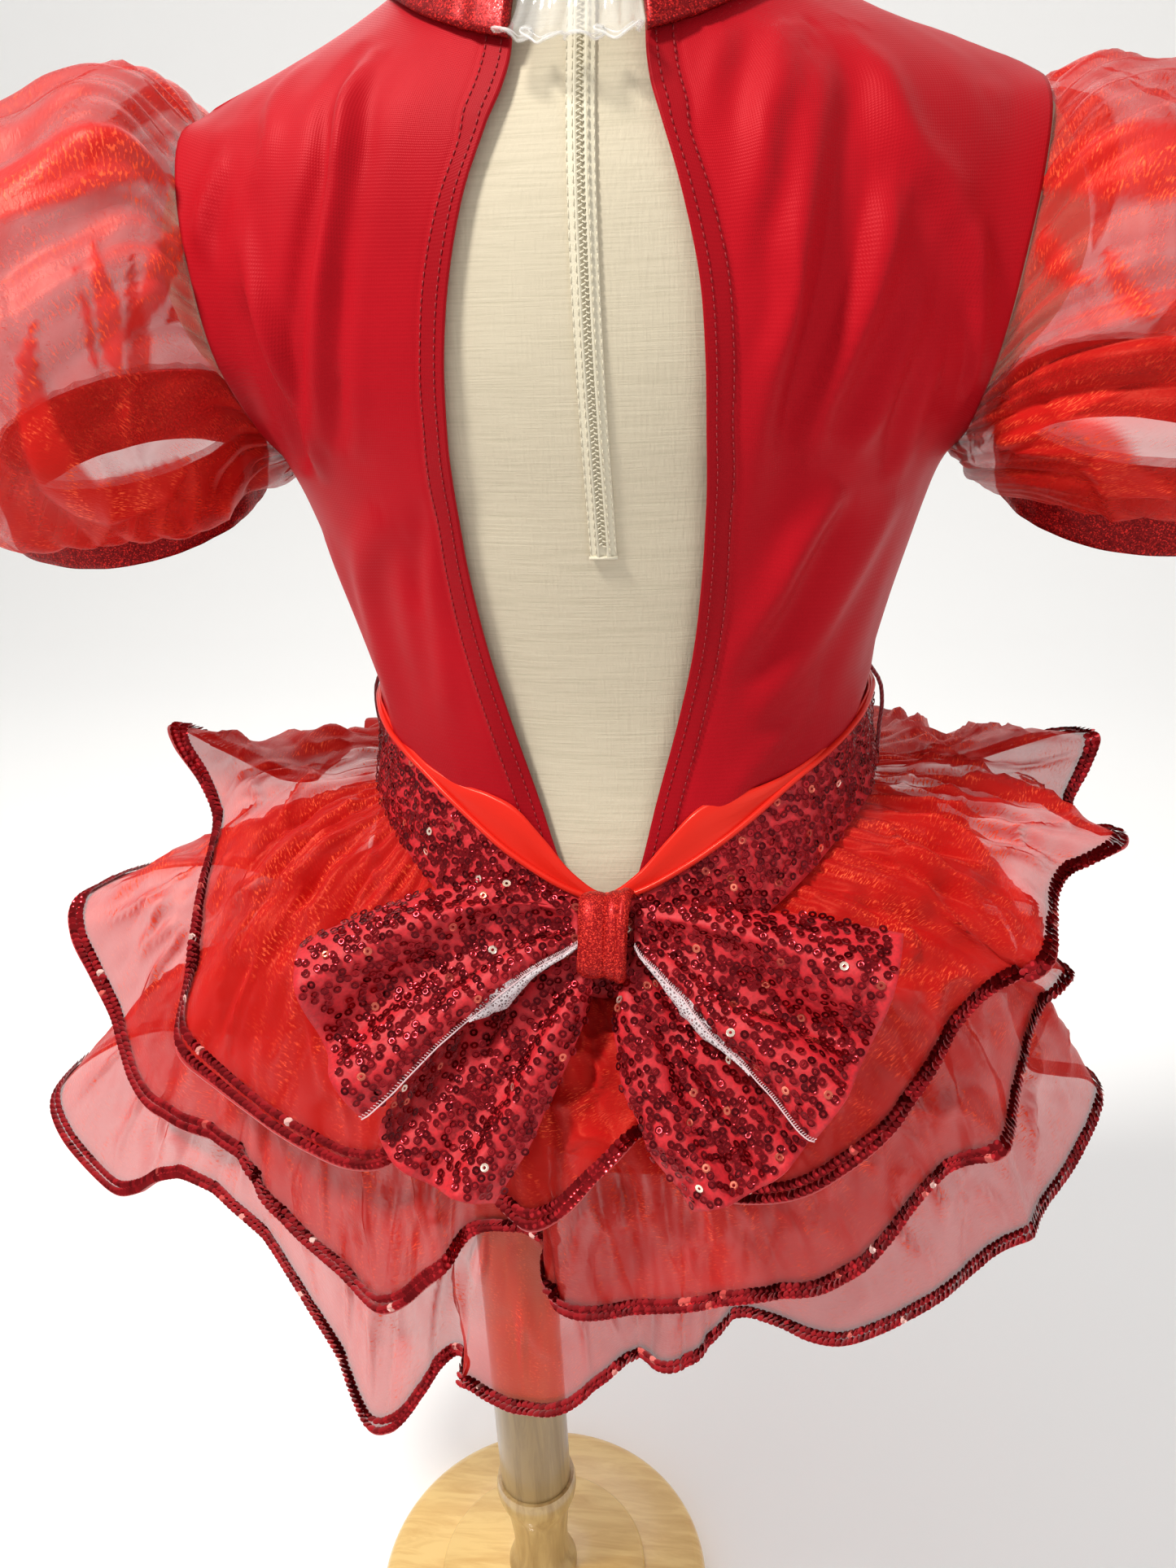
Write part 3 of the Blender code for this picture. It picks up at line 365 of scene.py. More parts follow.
def cloth_grid(node, wall, outward=None, start=None, first=None):
    """Rows of points down the outer side of a cloth node. (rows, whether each row closes)"""
    outward = outward or (lambda p: Vector((p.x - BODY_AXIS.x, p.y - BODY_AXIS.y, 0.0)).normalized())
    bm = welded(node)
    bm.normal_update()
    quads = outer_quads(bm, wall, outward)
    by_edge = {}
    for q, quad in enumerate(quads):
        for k in range(4):
            by_edge.setdefault(frozenset((quad[k], quad[(k + 1) % 4])), []).append(q)
    rim = [edge for edge, users in by_edge.items() if len(users) == 1]
    link = {}
    for edge in rim:
        a, b = tuple(edge)
        link.setdefault(a, []).append(b)
        link.setdefault(b, []).append(a)
    loops = []
    unseen = set(link)
    while unseen:
        loop = [min(unseen, key=lambda v: v.index)]
        unseen.discard(loop[0])
        while True:
            ahead = [v for v in link[loop[-1]] if v in unseen]
            if not ahead:
                break
            loop.append(ahead[0])
            unseen.discard(ahead[0])
        loops.append(loop)
    first = first or (lambda points: sum(p.z for p in points) / len(points))
    closed = len(loops) == 2
    if closed:
        top = max(loops, key=lambda loop: first([v.co for v in loop]))
    else:
        uses = {}
        for quad in quads:
            for vert in quad:
                uses[vert] = uses.get(vert, 0) + 1
        loop = loops[0]
        corners = [k for k, vert in enumerate(loop) if uses[vert] == 1]
        sides = []
        for a, b in zip(corners, corners[1:] + [corners[0] + len(loop)]):
            sides.append([loop[k % len(loop)] for k in range(a, b + 1)])
        top = max(sides, key=lambda side: first([v.co for v in side]))
    if closed:
        start = start or (lambda p: -abs(math.atan2(p.y - BODY_AXIS.y, p.x - BODY_AXIS.x)))
        k = max(range(len(top)), key=lambda k: start(top[k].co))
        top = top[k:] + top[:k]
    rows = [top]
    used = set()
    while True:
        line = rows[-1]
        below = [None] * len(line)
        count = len(line) if closed else len(line) - 1
        for k in range(count):
            a, b = line[k], line[(k + 1) % len(line)]
            free = [q for q in by_edge.get(frozenset((a, b)), []) if q not in used]
            if not free:
                break
            used.add(free[0])
            quad = quads[free[0]]
            i = quad.index(a)
            step = 1 if quad[(i + 1) % 4] is not b else -1
            below[k] = quad[(i + step) % 4]
            below[(k + 1) % len(line)] = quad[(quad.index(b) - step) % 4]
        if below[0] is None:
            break
        rows.append(below)
    grid = np.array([[tuple(v.co) for v in line] for line in rows])
    bm.free()
    across = grid[:-1, 1:] - grid[:-1, :-1]
    down = grid[1:, :-1] - grid[:-1, :-1]
    away = np.array([[tuple(outward(Vector(p))) for p in line] for line in grid[:-1, :-1]])
    if np.sum(np.cross(down, across) * away) < 0.0:
        grid = np.concatenate([grid[:, :1], grid[:, :0:-1]], 1) if closed else grid[:, ::-1]
    return grid, closed


def spline(points, count, closed):
    """Smooth curve through points along the first axis, at `count` even shares."""
    number = len(points)
    if closed:
        places = np.arange(count) / count * number
    else:
        places = np.linspace(0.0, number - 1.0, count)
    index = np.floor(places).astype(int)
    if not closed:
        index = np.minimum(index, number - 2)
    t = (places - index).reshape((-1,) + (1,) * (points.ndim - 1))
    if closed:
        p0, p1, p2, p3 = (points[(index + k) % number] for k in (-1, 0, 1, 2))
    else:
        before = 2.0 * points[:1] - points[1:2]
        after = 2.0 * points[-1:] - points[-2:-1]
        long = np.concatenate([before, points, after])
        p0, p1, p2, p3 = (long[index + 1 + k] for k in (-1, 0, 1, 2))
    return 0.5 * (2 * p1 + (p2 - p0) * t + (2 * p0 - 5 * p1 + 4 * p2 - p3) * t ** 2
                  + (3 * p1 - p0 - 3 * p2 + p3) * t ** 3)


class Cloth:
    """A fine grid of points on a piece, with its normals and its lengths across and down."""

    def __init__(self, grid, closed, rows, columns):
        down = spline(grid, rows, False)
        self.closed = closed
        self.points = spline(down.transpose(1, 0, 2), columns, closed).transpose(1, 0, 2)
        self.steepness = None
        self.measure()

    def measure(self):
        p = self.points
        if self.closed:
            across = np.roll(p, -1, 1) - np.roll(p, 1, 1)
            steps = np.linalg.norm(np.roll(p, -1, 1) - p, axis=2)
            run = np.concatenate([np.zeros((p.shape[0], 1)), np.cumsum(steps, 1)[:, :-1]], 1)
        else:
            across = np.gradient(p, axis=1)
            steps = np.linalg.norm(np.diff(p, axis=1), axis=2)
            run = np.concatenate([np.zeros((p.shape[0], 1)), np.cumsum(steps, 1)], 1)
        self.width = steps.sum(1)
        down = np.gradient(p, axis=0)
        normal = np.cross(down, across)
        self.normals = normal / np.maximum(np.linalg.norm(normal, axis=2, keepdims=True), 1e-9)
        drop = np.linalg.norm(np.diff(p, axis=0), axis=2)
        self.down = np.concatenate([np.zeros((1, p.shape[1])), np.cumsum(drop, 0)], 0)
        self.across = run
        self.share_down = np.linspace(0.0, 1.0, p.shape[0])[:, None] + np.zeros(p.shape[1])[None, :]
        count = p.shape[1]
        shares = np.arange(count) / count if self.closed else np.linspace(0.0, 1.0, count)
        self.share_across = shares[None, :] + np.zeros(p.shape[0])[:, None]

    def mark_folds(self, height, full):
        """Keep how steep the folds' sides are, from 0 to 1, for the cloth's opacity and its painted sparkle.
        """
        steps = np.maximum(self.width[:, None] / self.points.shape[1], 1e-5)
        if self.closed:
            slope = np.abs(np.roll(height, -1, 1) - np.roll(height, 1, 1)) / (2.0 * steps)
        else:
            slope = np.abs(np.gradient(height, axis=1)) / steps
        self.steepness = np.clip(slope / full, 0.0, 1.0)

    def lift(self, height):
        """Move every point off the cloth by its height."""
        self.points = self.points + self.normals * np.asarray(height)[..., None]
        self.measure()

    def at(self, s, t):
        """Point, normal, and the two directions, at a share across and a share down."""
        rows, columns = self.points.shape[:2]
        y = min(max(t, 0.0), 1.0) * (rows - 1)
        x = s % 1.0 * columns if self.closed else min(max(s, 0.0), 1.0) * (columns - 1)
        r = min(int(y), rows - 2)
        c = int(x) if self.closed else min(int(x), columns - 2)
        d = (c + 1) % columns
        fy, fx = y - r, x - c

        def mix(grid):
            return ((grid[r, c] * (1 - fx) + grid[r, d] * fx) * (1 - fy)
                    + (grid[r + 1, c] * (1 - fx) + grid[r + 1, d] * fx) * fy)
        point = mix(self.points)
        normal = mix(self.normals)
        scale = columns if self.closed else columns - 1
        along = (self.points[r, d] - self.points[r, c]) * scale
        downward = (self.points[r + 1, c] - self.points[r, c]) * (rows - 1)
        return Vector(point), Vector(normal).normalized(), Vector(along), Vector(downward)

    def mesh(self, name, thickness=0.0):
        """A mesh of the cloth, its UVs in metres of thread; a second side if it has thickness."""
        rows, columns = self.points.shape[:2]
        sides = [self.points]
        if thickness:
            sides.append(self.points - self.normals * thickness)
        verts = np.concatenate([side.reshape(-1, 3) for side in sides])
        faces = []
        cells = columns if self.closed else columns - 1
        for r in range(rows - 1):
            for c in range(cells):
                d = (c + 1) % columns
                a, b, e, f = r * columns + c, r * columns + d, (r + 1) * columns + d, (r + 1) * columns + c
                faces.append((a, f, e, b))
                if thickness:
                    n = rows * columns
                    faces.append((n + a, n + b, n + e, n + f))
        if thickness:
            n = rows * columns
            for r, turned_over in ((0, False), (rows - 1, True)):
                for c in range(cells):
                    d = (c + 1) % columns
                    quad = (r * columns + c, r * columns + d, n + r * columns + d, n + r * columns + c)
                    faces.append(quad[::-1] if turned_over else quad)
            if not self.closed:
                for c, turned_over in ((0, True), (columns - 1, False)):
                    for r in range(rows - 1):
                        a, b = r * columns + c, (r + 1) * columns + c
                        quad = (a, b, n + b, n + a)
                        faces.append(quad[::-1] if turned_over else quad)
        mesh = bpy.data.meshes.new(name)
        mesh.from_pydata([tuple(v) for v in verts], [], faces)
        weave = mesh.uv_layers.new(name="weave")
        cut_width = float(self.width.max())
        cut_length = float(np.median(self.down[-1]))
        u = (self.share_across * cut_width).reshape(-1)
        v = (self.share_down * cut_length).reshape(-1)
        corner = np.empty(len(mesh.loops), dtype=np.int32)
        mesh.loops.foreach_get("vertex_index", corner)
        flat = corner % (rows * columns)
        uv = np.stack([u[flat], v[flat]], 1)
        if self.closed:
            column = flat % columns
            starts = np.empty(len(mesh.polygons), dtype=np.int32)
            totals = np.empty(len(mesh.polygons), dtype=np.int32)
            mesh.polygons.foreach_get("loop_start", starts)
            mesh.polygons.foreach_get("loop_total", totals)
            for start, total in zip(starts, totals):
                part = column[start:start + total]
                if part.max() - part.min() > columns // 2:
                    for k in range(total):
                        if part[k] == 0:
                            uv[start + k, 0] = cut_width
        weave.data.foreach_set("uv", uv.reshape(-1))
        if self.steepness is not None:
            fold = mesh.attributes.new("fold", "FLOAT", "POINT")
            fold.data.foreach_set("value", np.tile(self.steepness.reshape(-1), len(sides)))
        mesh.update()
        return mesh


def soft_noise(points, size, seed, octaves=2):
    """Smooth random height from -1 to 1, of about `size` metres from hill to hill."""
    total = np.zeros(points.shape[:-1])
    amount = 0.0
    for octave in range(octaves):
        weight = 0.5 ** octave
        amount += weight
        grain = random.Random(seed * 97 + octave)
        for _ in range(9):
            turn = grain.uniform(0, 2 * math.pi)
            tilt = grain.uniform(-1, 1)
            flat = math.sqrt(1 - tilt * tilt)
            way = np.array([flat * math.cos(turn), flat * math.sin(turn), tilt])
            wave = 2 * math.pi / (size / 2 ** octave) * grain.uniform(0.6, 1.4)
            total += weight * np.sin(points @ way * wave + grain.uniform(0, 6.28)) / 3.0
    return np.clip(total / amount, -1.5, 1.5)


# The dress form: a limbless child's torso, covered in unbleached slub cotton. The cover's
# horizontal slub threads show as faint lines.
FORM_ROWS, FORM_AROUND = 110, 120
FORM_CORNERS = 26


def form_grid():
    """Rings of the form, from its lower edge to the neck's cap, at even heights."""
    bm = welded("dress_form")
    levels = {}
    for vert in bm.verts:
        levels.setdefault(round(vert.co.z, 4), []).append(vert.co.copy())
    bm.free()
    rings = []
    for level in sorted(levels, reverse=True):
        ring = levels[level]
        if len(ring) != FORM_CORNERS:
            continue
        ring.sort(key=lambda p: math.atan2(p.y - BODY_AXIS.y, p.x - BODY_AXIS.x) % (2 * math.pi))
        rings.append([tuple(p) for p in ring])
    return np.array(rings)


form = Cloth(form_grid(), True, FORM_ROWS, FORM_AROUND)
form_tree = BVHTree.FromPolygons([Vector(p) for p in form.points.reshape(-1, 3)], [
    (r * FORM_AROUND + c, (r + 1) * FORM_AROUND + c,
     (r + 1) * FORM_AROUND + (c + 1) % FORM_AROUND, r * FORM_AROUND + (c + 1) % FORM_AROUND)
    for r in range(FORM_ROWS - 1) for c in range(FORM_AROUND)])


def reckoned(nodes, links, operation, *terms, clamp=False):
    """The result of sums on the shader's factors and on plain numbers."""
    node = named_node(nodes, "ShaderNodeMath", operation=operation, use_clamp=clamp)
    for socket, term in zip(node.inputs, terms):
        if isinstance(term, float):
            socket.default_value = term
        else:
            links.new(term, socket)
    return node.outputs["Value"]


cotton, nodes, links, shader = finish("cotton_cover", (0.60, 0.52, 0.38), 0.9, sheen_weight=0.12)
slub = pattern(nodes, links, "ShaderNodeTexNoise", stretch=(40.0, 40.0, 1300.0),
               Scale=1.0, Detail=4.0, Roughness=0.6)
warp = pattern(nodes, links, "ShaderNodeTexNoise", stretch=(900.0, 900.0, 60.0), Scale=1.0, Detail=2.0)
both = reckoned(nodes, links, "ADD", slub.outputs["Fac"], warp.outputs["Fac"])
ramp(nodes, links, slub.outputs["Fac"], [
    (0.30, (0.51, 0.45, 0.325)), (0.50, (0.57, 0.50, 0.37)), (0.70, (0.60, 0.53, 0.395))],
    shader.inputs["Base Color"])
relief(nodes, links, shader, both, 0.0003, 0.6)

# The neck's cap and the form's underside close the cover's two ends.
form_mesh = form.mesh("form_cover")
bm = bmesh.new()
bm.from_mesh(form_mesh)
bmesh.ops.holes_fill(bm, edges=[e for e in bm.edges if e.is_boundary], sides=0)
bm.to_mesh(form_mesh)
bm.free()
show("form_cover", form_mesh, cotton, "cotton", "dress_form")
form_mesh.set_sharp_from_angle(angle=math.radians(50))


# The zip: the form cover's own off-white coil zip, down the middle of the back. Two stitched
# tapes, the closed coil between them and a square stop at the lower end.
ZIP_TOP, ZIP_BOTTOM = 0.900, 0.6755
ZIP_X_TOP, ZIP_X_BOTTOM = -0.0655, -0.0695
ZIP_HALF_TAPE = 0.0048
COIL_RADIUS = 0.0016
COIL_PITCH = 0.0019
COIL_STEPS = 6
COIL_FOOT = 0.004
TAPE_ROWS = 120
ZIP_STITCHES = 70
ZIP_STITCH_FOOT, ZIP_STITCH_STEP, ZIP_STITCH_HALF = 0.0016, 0.0032, 0.0011


def on_cover(x, z, off):
    """A place on the back of the form cover, moved off it."""
    hit, normal = form_tree.ray_cast(Vector((x, 0.4, z)), Vector((0.0, -1.0, 0.0)))[:2]
    if normal.y < 0.0:
        normal = -normal
    return hit + normal * off, normal


def zip_x(z):
    return ZIP_X_BOTTOM + (ZIP_X_TOP - ZIP_X_BOTTOM) * (z - ZIP_BOTTOM) / (ZIP_TOP - ZIP_BOTTOM)


def strip(lines, name):
    """A mesh through equal lines of points."""
    count = len(lines[0])
    verts = [tuple(p) for line in lines for p in line]
    faces = []
    for r in range(len(lines) - 1):
        for c in range(count - 1):
            a = r * count + c
            faces.append((a, a + 1, a + count + 1, a + count))
    mesh = bpy.data.meshes.new(name)
    mesh.from_pydata(verts, [], faces)
    return mesh


# Half of the tapes' section, from the middle out: share of the half width, height off the cover.
tape_half = [(0.22, 0.0012), (0.30, 0.0021), (0.48, 0.0018), (0.60, 0.0011), (0.86, 0.0013),
             (0.97, 0.0010), (1.0, 0.0001)]
tape_profile = [(-share, rise) for share, rise in reversed(tape_half)] + tape_half
tape_lines = []
for k in range(TAPE_ROWS + 1):
    z = ZIP_BOTTOM + (ZIP_TOP - ZIP_BOTTOM) * k / TAPE_ROWS
    tape_lines.append([on_cover(zip_x(z) + share * ZIP_HALF_TAPE, z, rise)[0]
                       for share, rise in tape_profile])
nylon, nodes, links, shader = finish("zip_tape", (0.66, 0.60, 0.455), 0.6)
fine = pattern(nodes, links, "ShaderNodeTexNoise", Scale=1600.0, Detail=2.0)
relief(nodes, links, shader, fine.outputs["Fac"], 0.0002, 0.6)
show("zip_tape", strip(tape_lines, "zip_tape"), nylon, "cotton")


def tube(points, radius, sides, mesh_data):
    """Rings of a round thread along points, added to (verts, faces)."""
    verts, faces = mesh_data
    base = len(verts)
    last = len(points) - 1
    guide = Vector((0.31, 0.52, 0.79))
    for k, point in enumerate(points):
        along = (points[min(k + 1, last)] - points[max(k - 1, 0)]).normalized()
        side = along.cross(guide)
        if side.length < 0.2:
            side = along.cross(Vector((1.0, 0.0, 0.0)))
        side.normalize()
        up = along.cross(side)
        for c in range(sides):
            turn = 2.0 * math.pi * c / sides
            verts.append(tuple(point + (side * math.cos(turn) + up * math.sin(turn)) * radius))
    for k in range(last):
        for c in range(sides):
            d = (c + 1) % sides
            faces.append((base + k * sides + c, base + k * sides + d,
                          base + (k + 1) * sides + d, base + (k + 1) * sides + c))
    faces.append(tuple(base + c for c in range(sides))[::-1])
    faces.append(tuple(base + last * sides + c for c in range(sides)))


def raw_mesh(name, data):
    mesh = bpy.data.meshes.new(name)
    mesh.from_pydata(data[0], [], data[1])
    mesh.update()
    return mesh


coil = ([], [])
turns = int((ZIP_TOP - ZIP_BOTTOM - COIL_FOOT) / COIL_PITCH)
for side, ahead in ((-1.0, 0.0), (1.0, 0.5)):
    line = []
    for k in range(turns * COIL_STEPS + 1):
        z = ZIP_BOTTOM + COIL_FOOT + COIL_PITCH * (k / COIL_STEPS + ahead)
        swing = 2.0 * math.pi * k / COIL_STEPS
        x = zip_x(z) + side * (0.0006 + COIL_RADIUS * 0.5 * math.cos(swing))
        line.append(on_cover(x, min(z, ZIP_TOP), 0.0014 + 0.0006 * math.sin(swing))[0])
    tube(line, 0.00034, 4, mesh_data=coil)
show("zip_coil", raw_mesh("zip_coil", coil), nylon, "cotton")

stop = ([], [])
corner = [on_cover(zip_x(ZIP_BOTTOM) + a * ZIP_HALF_TAPE, ZIP_BOTTOM + b, 0.0016)[0]
          for a, b in ((-1.05, 0.0), (1.05, 0.0))]
tube([corner[0], corner[1]], 0.0007, 6, mesh_data=stop)
for side in (-1.0, 1.0):
    for row, off in ((0.52, 0.0019), (0.92, 0.0013)):
        for k in range(ZIP_STITCHES):
            z = ZIP_BOTTOM + ZIP_STITCH_FOOT + k * ZIP_STITCH_STEP
            if z + 0.002 > ZIP_TOP:
                break
            ends = [on_cover(zip_x(z + dz) + side * row * ZIP_HALF_TAPE, z + dz, off)[0]
                    for dz in (0.0, ZIP_STITCH_HALF, 2.0 * ZIP_STITCH_HALF)]
            tube(ends, 0.00022, 4, mesh_data=stop)
show("zip_stitches", raw_mesh("zip_stitches", stop), nylon, "cotton")


# The leotard's body: a front and two backs of matt-satin four-way stretch knit, with the open
# back's edges turned in and held by two rows of coverstitch. Soft folds hang from the shoulders.
HEM_WIDTH = 0.0105
HEM_RAISED, HEM_GROOVE = 0.00055, 0.0004
STITCH_INSETS = (0.0035, 0.0092)
STITCH_LENGTH = 0.0016
STITCH_STEP = 0.0027
STITCH_RADIUS = 0.00026
KNIT_THICKNESS = 0.0010
COVER_GAP = 0.0015
FOLD_DEPTH = 1.4


def knit_cloth(name, tone):
    made, nodes, links, shader = finish(name, tone, 0.46, sheen_weight=0.10, sheen_roughness=0.35)
    shader.inputs["Specular IOR Level"].default_value = 0.30
    shader.inputs["Specular Tint"].default_value = (1.0, 0.12, 0.14, 1.0)
    shader.inputs["Sheen Tint"].default_value = (1.0, 0.06, 0.08, 1.0)
    wale = pattern(nodes, links, "ShaderNodeTexWave", weave=True,
                   Scale=300.0, Distortion=0.4, Detail=1.0, bands_direction="X")
    course = pattern(nodes, links, "ShaderNodeTexWave", weave=True,
                     Scale=260.0, Distortion=0.3, Detail=1.0, bands_direction="Y")
    knit = reckoned(nodes, links, "MULTIPLY", wale.outputs["Fac"], course.outputs["Fac"])
    cloudy = pattern(nodes, links, "ShaderNodeTexNoise", Scale=9.0, Detail=5.0, Roughness=0.55)
    darker = tuple(0.82 * c for c in tone)
    lighter = tuple(min(1.0, 1.10 * c) for c in tone)
    ramp(nodes, links, cloudy.outputs["Fac"], [(0.30, darker), (0.52, tone), (0.72, lighter)],
         shader.inputs["Base Color"])
    relief(nodes, links, shader, knit, 0.0002, 0.35)
    return made


red_knit = knit_cloth("red_knit", (0.40, 0.0055, 0.0120))
hem_knit = knit_cloth("hem_knit", (0.31, 0.0045, 0.0095))


def edge_distance(cloth, side):
    """How far each point is from the cloth's first or last column."""
    if side < 0:
        return cloth.across
    return cloth.width[:, None] - cloth.across


def calmed(grid):
    """The wall's points with its folds smoothed away, its edges kept."""
    grid = grid.copy()
    for smoothing in range(3):
        middle = (grid[:-2, 1:-1] + grid[2:, 1:-1] + grid[1:-1, :-2] + grid[1:-1, 2:]) / 4.0
        grid[1:-1, 1:-1] = 0.4 * grid[1:-1, 1:-1] + 0.6 * middle
    return grid


def pull(cloth, route, rise, half_width, dip):
    """One fold along a route of (share across, share down), with a dip beside it: + left, - right."""
    way = spline(np.array(route), 48, False)
    places = [cloth.at(s, t) for s, t in way]
    line = np.array([tuple(place[0]) for place in places])
    up = np.array([tuple(place[1]) for place in places])
    side = np.cross(np.gradient(line, axis=0), up)
    side /= np.maximum(np.linalg.norm(side, axis=1, keepdims=True), 1e-9)
    offset = cloth.points[:, :, None, :] - line
    nearest = (offset ** 2).sum(3).argmin(2)
    rows, columns = np.indices(nearest.shape)
    gap = (offset[rows, columns, nearest] * side[nearest]).sum(2) / half_width
    fade = np.abs(np.sin(math.pi * nearest / (len(way) - 1.0))) ** 0.6
    beside = abs(dip) * np.exp(-(gap - math.copysign(1.7, dip)) ** 2)
    return rise * fade * (np.exp(-gap ** 2) - beside)


# Folds of the knit: route as (x, height) from the body's middle, rise, half width, dip.
PULLS = {
    "back_right": (
        (((-0.045, 0.262), (-0.041, 0.247), (-0.039, 0.232)), 0.0018, 0.005, -0.6),
        (((-0.060, 0.262), (-0.057, 0.226), (-0.051, 0.206), (-0.046, 0.184)), 0.0030, 0.006, -0.8),
        (((-0.067, 0.262), (-0.070, 0.226), (-0.068, 0.200),
          (-0.065, 0.174), (-0.056, 0.138), (-0.041, 0.090)), 0.0048, 0.0085, -0.8),
        (((-0.063, 0.196), (-0.059, 0.174), (-0.045, 0.152)), -0.0026, 0.004, -0.3),
        (((-0.103, 0.217), (-0.093, 0.184), (-0.080, 0.151), (-0.072, 0.128)), 0.0038, 0.0065, 0.8),
        (((-0.112, 0.179), (-0.097, 0.146), (-0.088, 0.130)), 0.0028, 0.006, 0.7),
        (((-0.078, 0.260), (-0.101, 0.231), (-0.119, 0.211), (-0.128, 0.179)), 0.0026, 0.007, 0.6),
        (((-0.125, 0.206), (-0.130, 0.168), (-0.132, 0.145)), 0.0028, 0.005, 0.7),
        (((-0.086, 0.118), (-0.078, 0.108), (-0.059, 0.075), (-0.038, 0.045)), 0.0036, 0.0065, -0.7),
        (((-0.108, 0.112), (-0.090, 0.078), (-0.068, 0.045), (-0.052, 0.030)), 0.0022, 0.008, -0.6),
        (((-0.082, 0.036), (-0.055, 0.009), (-0.038, -0.006)), 0.0026, 0.005, -0.7),
        (((-0.105, 0.040), (-0.086, 0.010), (-0.066, -0.010)), 0.0020, 0.006, -0.6),
        (((-0.121, 0.180), (-0.108, 0.152), (-0.101, 0.118)), -0.0024, 0.005, -0.5),
    ),
    "back_left": (
        (((0.072, 0.264), (0.086, 0.231), (0.092, 0.211),
          (0.098, 0.190), (0.104, 0.162), (0.107, 0.138)), -0.0038, 0.0052, -0.7),
        (((0.068, 0.258), (0.079, 0.226), (0.086, 0.189), (0.088, 0.160)), 0.0020, 0.005, -0.6),
        (((0.077, 0.230), (0.084, 0.184), (0.092, 0.136)), -0.0020, 0.0045, -0.5),
        (((0.126, 0.234), (0.138, 0.215), (0.140, 0.198)), 0.0026, 0.005, -0.6),
        (((0.123, 0.190), (0.114, 0.156), (0.110, 0.124)), -0.0032, 0.005, -0.7),
        (((0.120, 0.210), (0.113, 0.173), (0.110, 0.144)), 0.0024, 0.0045, -0.4),
        (((0.059, 0.119), (0.064, 0.098), (0.070, 0.074)), -0.0026, 0.0045, -0.5),
        (((0.060, 0.110), (0.059, 0.068), (0.062, 0.026)), 0.0022, 0.006, 0.5),
        (((0.078, 0.112), (0.093, 0.080), (0.087, 0.020)), 0.0020, 0.007, -0.6),
        (((0.112, 0.100), (0.098, 0.058), (0.086, 0.004)), 0.0018, 0.008, 0.5),
        (((0.098, 0.262), (0.108, 0.238), (0.114, 0.216)), 0.0016, 0.006, 0.6),
    ),
    "front": (
        (((-0.062, 0.268), (-0.058, 0.230), (-0.046, 0.180)), 0.0030, 0.007, 0.7),
        (((0.060, 0.268), (0.055, 0.226), (0.049, 0.172)), 0.0028, 0.007, -0.7),
        (((-0.030, 0.250), (-0.032, 0.200), (-0.024, 0.150)), 0.0018, 0.008, 0.5),
        (((0.026, 0.252), (0.033, 0.196), (0.028, 0.140)), 0.0018, 0.008, -0.5),
        (((-0.128, 0.190), (-0.104, 0.162), (-0.072, 0.140)), 0.0026, 0.0055, 0.6),
        (((0.128, 0.196), (0.106, 0.166), (0.076, 0.146)), 0.0028, 0.0055, -0.6),
        (((-0.120, 0.150), (-0.098, 0.120), (-0.084, 0.080)), 0.0022, 0.006, 0.6),
        (((0.121, 0.156), (0.100, 0.122), (0.088, 0.084)), 0.0022, 0.006, -0.6),
        (((-0.104, 0.060), (-0.066, 0.030), (-0.030, 0.022)), 0.0022, 0.0055, 0.6),
        (((0.106, 0.050), (0.070, 0.024), (0.030, 0.012)), 0.0024, 0.0055, -0.6),
        (((-0.098, 0.016), (-0.060, 0.000), (-0.022, -0.002)), 0.0020, 0.005, 0.6),
    ),
}


def share_of(cloth, x, height):
    """The share across and down of the cloth's point that lies nearest to (x, height)."""
    gap = np.hypot(cloth.points[..., 0] - BODY_AXIS.x - x, cloth.points[..., 2] - BODY_AXIS.z - height)
    row, column = np.unravel_index(gap.argmin(), gap.shape)
    return column / (gap.shape[1] - 1.0), row / (gap.shape[0] - 1.0)


def off_cover(cloth, gap):
    """Move what lies too near the form's cover out to a gap off it."""
    for spot in np.ndindex(cloth.points.shape[:2]):
        point = Vector(cloth.points[spot])
        near, normal = form_tree.find_nearest(point)[:2]
        if normal.dot(near - BODY_AXIS) < 0.0:
            normal = -normal
        height = (point - near).dot(normal)
        if height < gap:
            cloth.points[spot] = point + normal * (gap - height)
    cloth.measure()


def knit_folds(cloth, node, seed):
    """The panel's long soft folds, and slight pulls of the stretch cloth between them."""
    rest = 0.0010 + 0.0003 * soft_noise(cloth.points * np.array([1.0, 1.0, 0.28]), 0.034, seed, 2)
    above_belt = np.clip((cloth.points[..., 2] - BODY_AXIS.z + 0.025) / 0.07, 0.0, 1.0)
    return rest + above_belt * sum(
        pull(cloth, [share_of(cloth, *place) for place in route], FOLD_DEPTH * rise, half_width, dip)
        for route, rise, half_width, dip in PULLS[node])


def stitch_line(panel, gap, inset):
    """The points of a panel that lie one inset in from its hem, row by row."""
    line = []
    for r, row in enumerate(gap):
        order = np.argsort(row)
        if row[order[-1]] < inset:
            continue
        c = np.interp(inset, row[order], order.astype(float))
        low = int(c)
        high = min(low + 1, len(row) - 1)
        point = panel.points[r, low] * (1 - c + low) + panel.points[r, high] * (c - low)
        line.append(Vector(point + panel.normals[r, low] * 0.00025))
    return line


def stitch_along(line, mesh_data):
    """Separate stitches at even steps along a line."""
    length = 0.0
    due = 0.0
    for a, b in zip(line, line[1:]):
        step = (b - a).length
        way = (b - a).normalized()
        while due < length + step:
            place = a.lerp(b, (due - length) / step)
            tube([place - way * STITCH_LENGTH / 2, place, place + way * STITCH_LENGTH / 2],
                 STITCH_RADIUS, 4, mesh_data=mesh_data)
            due += STITCH_STEP
        length += step


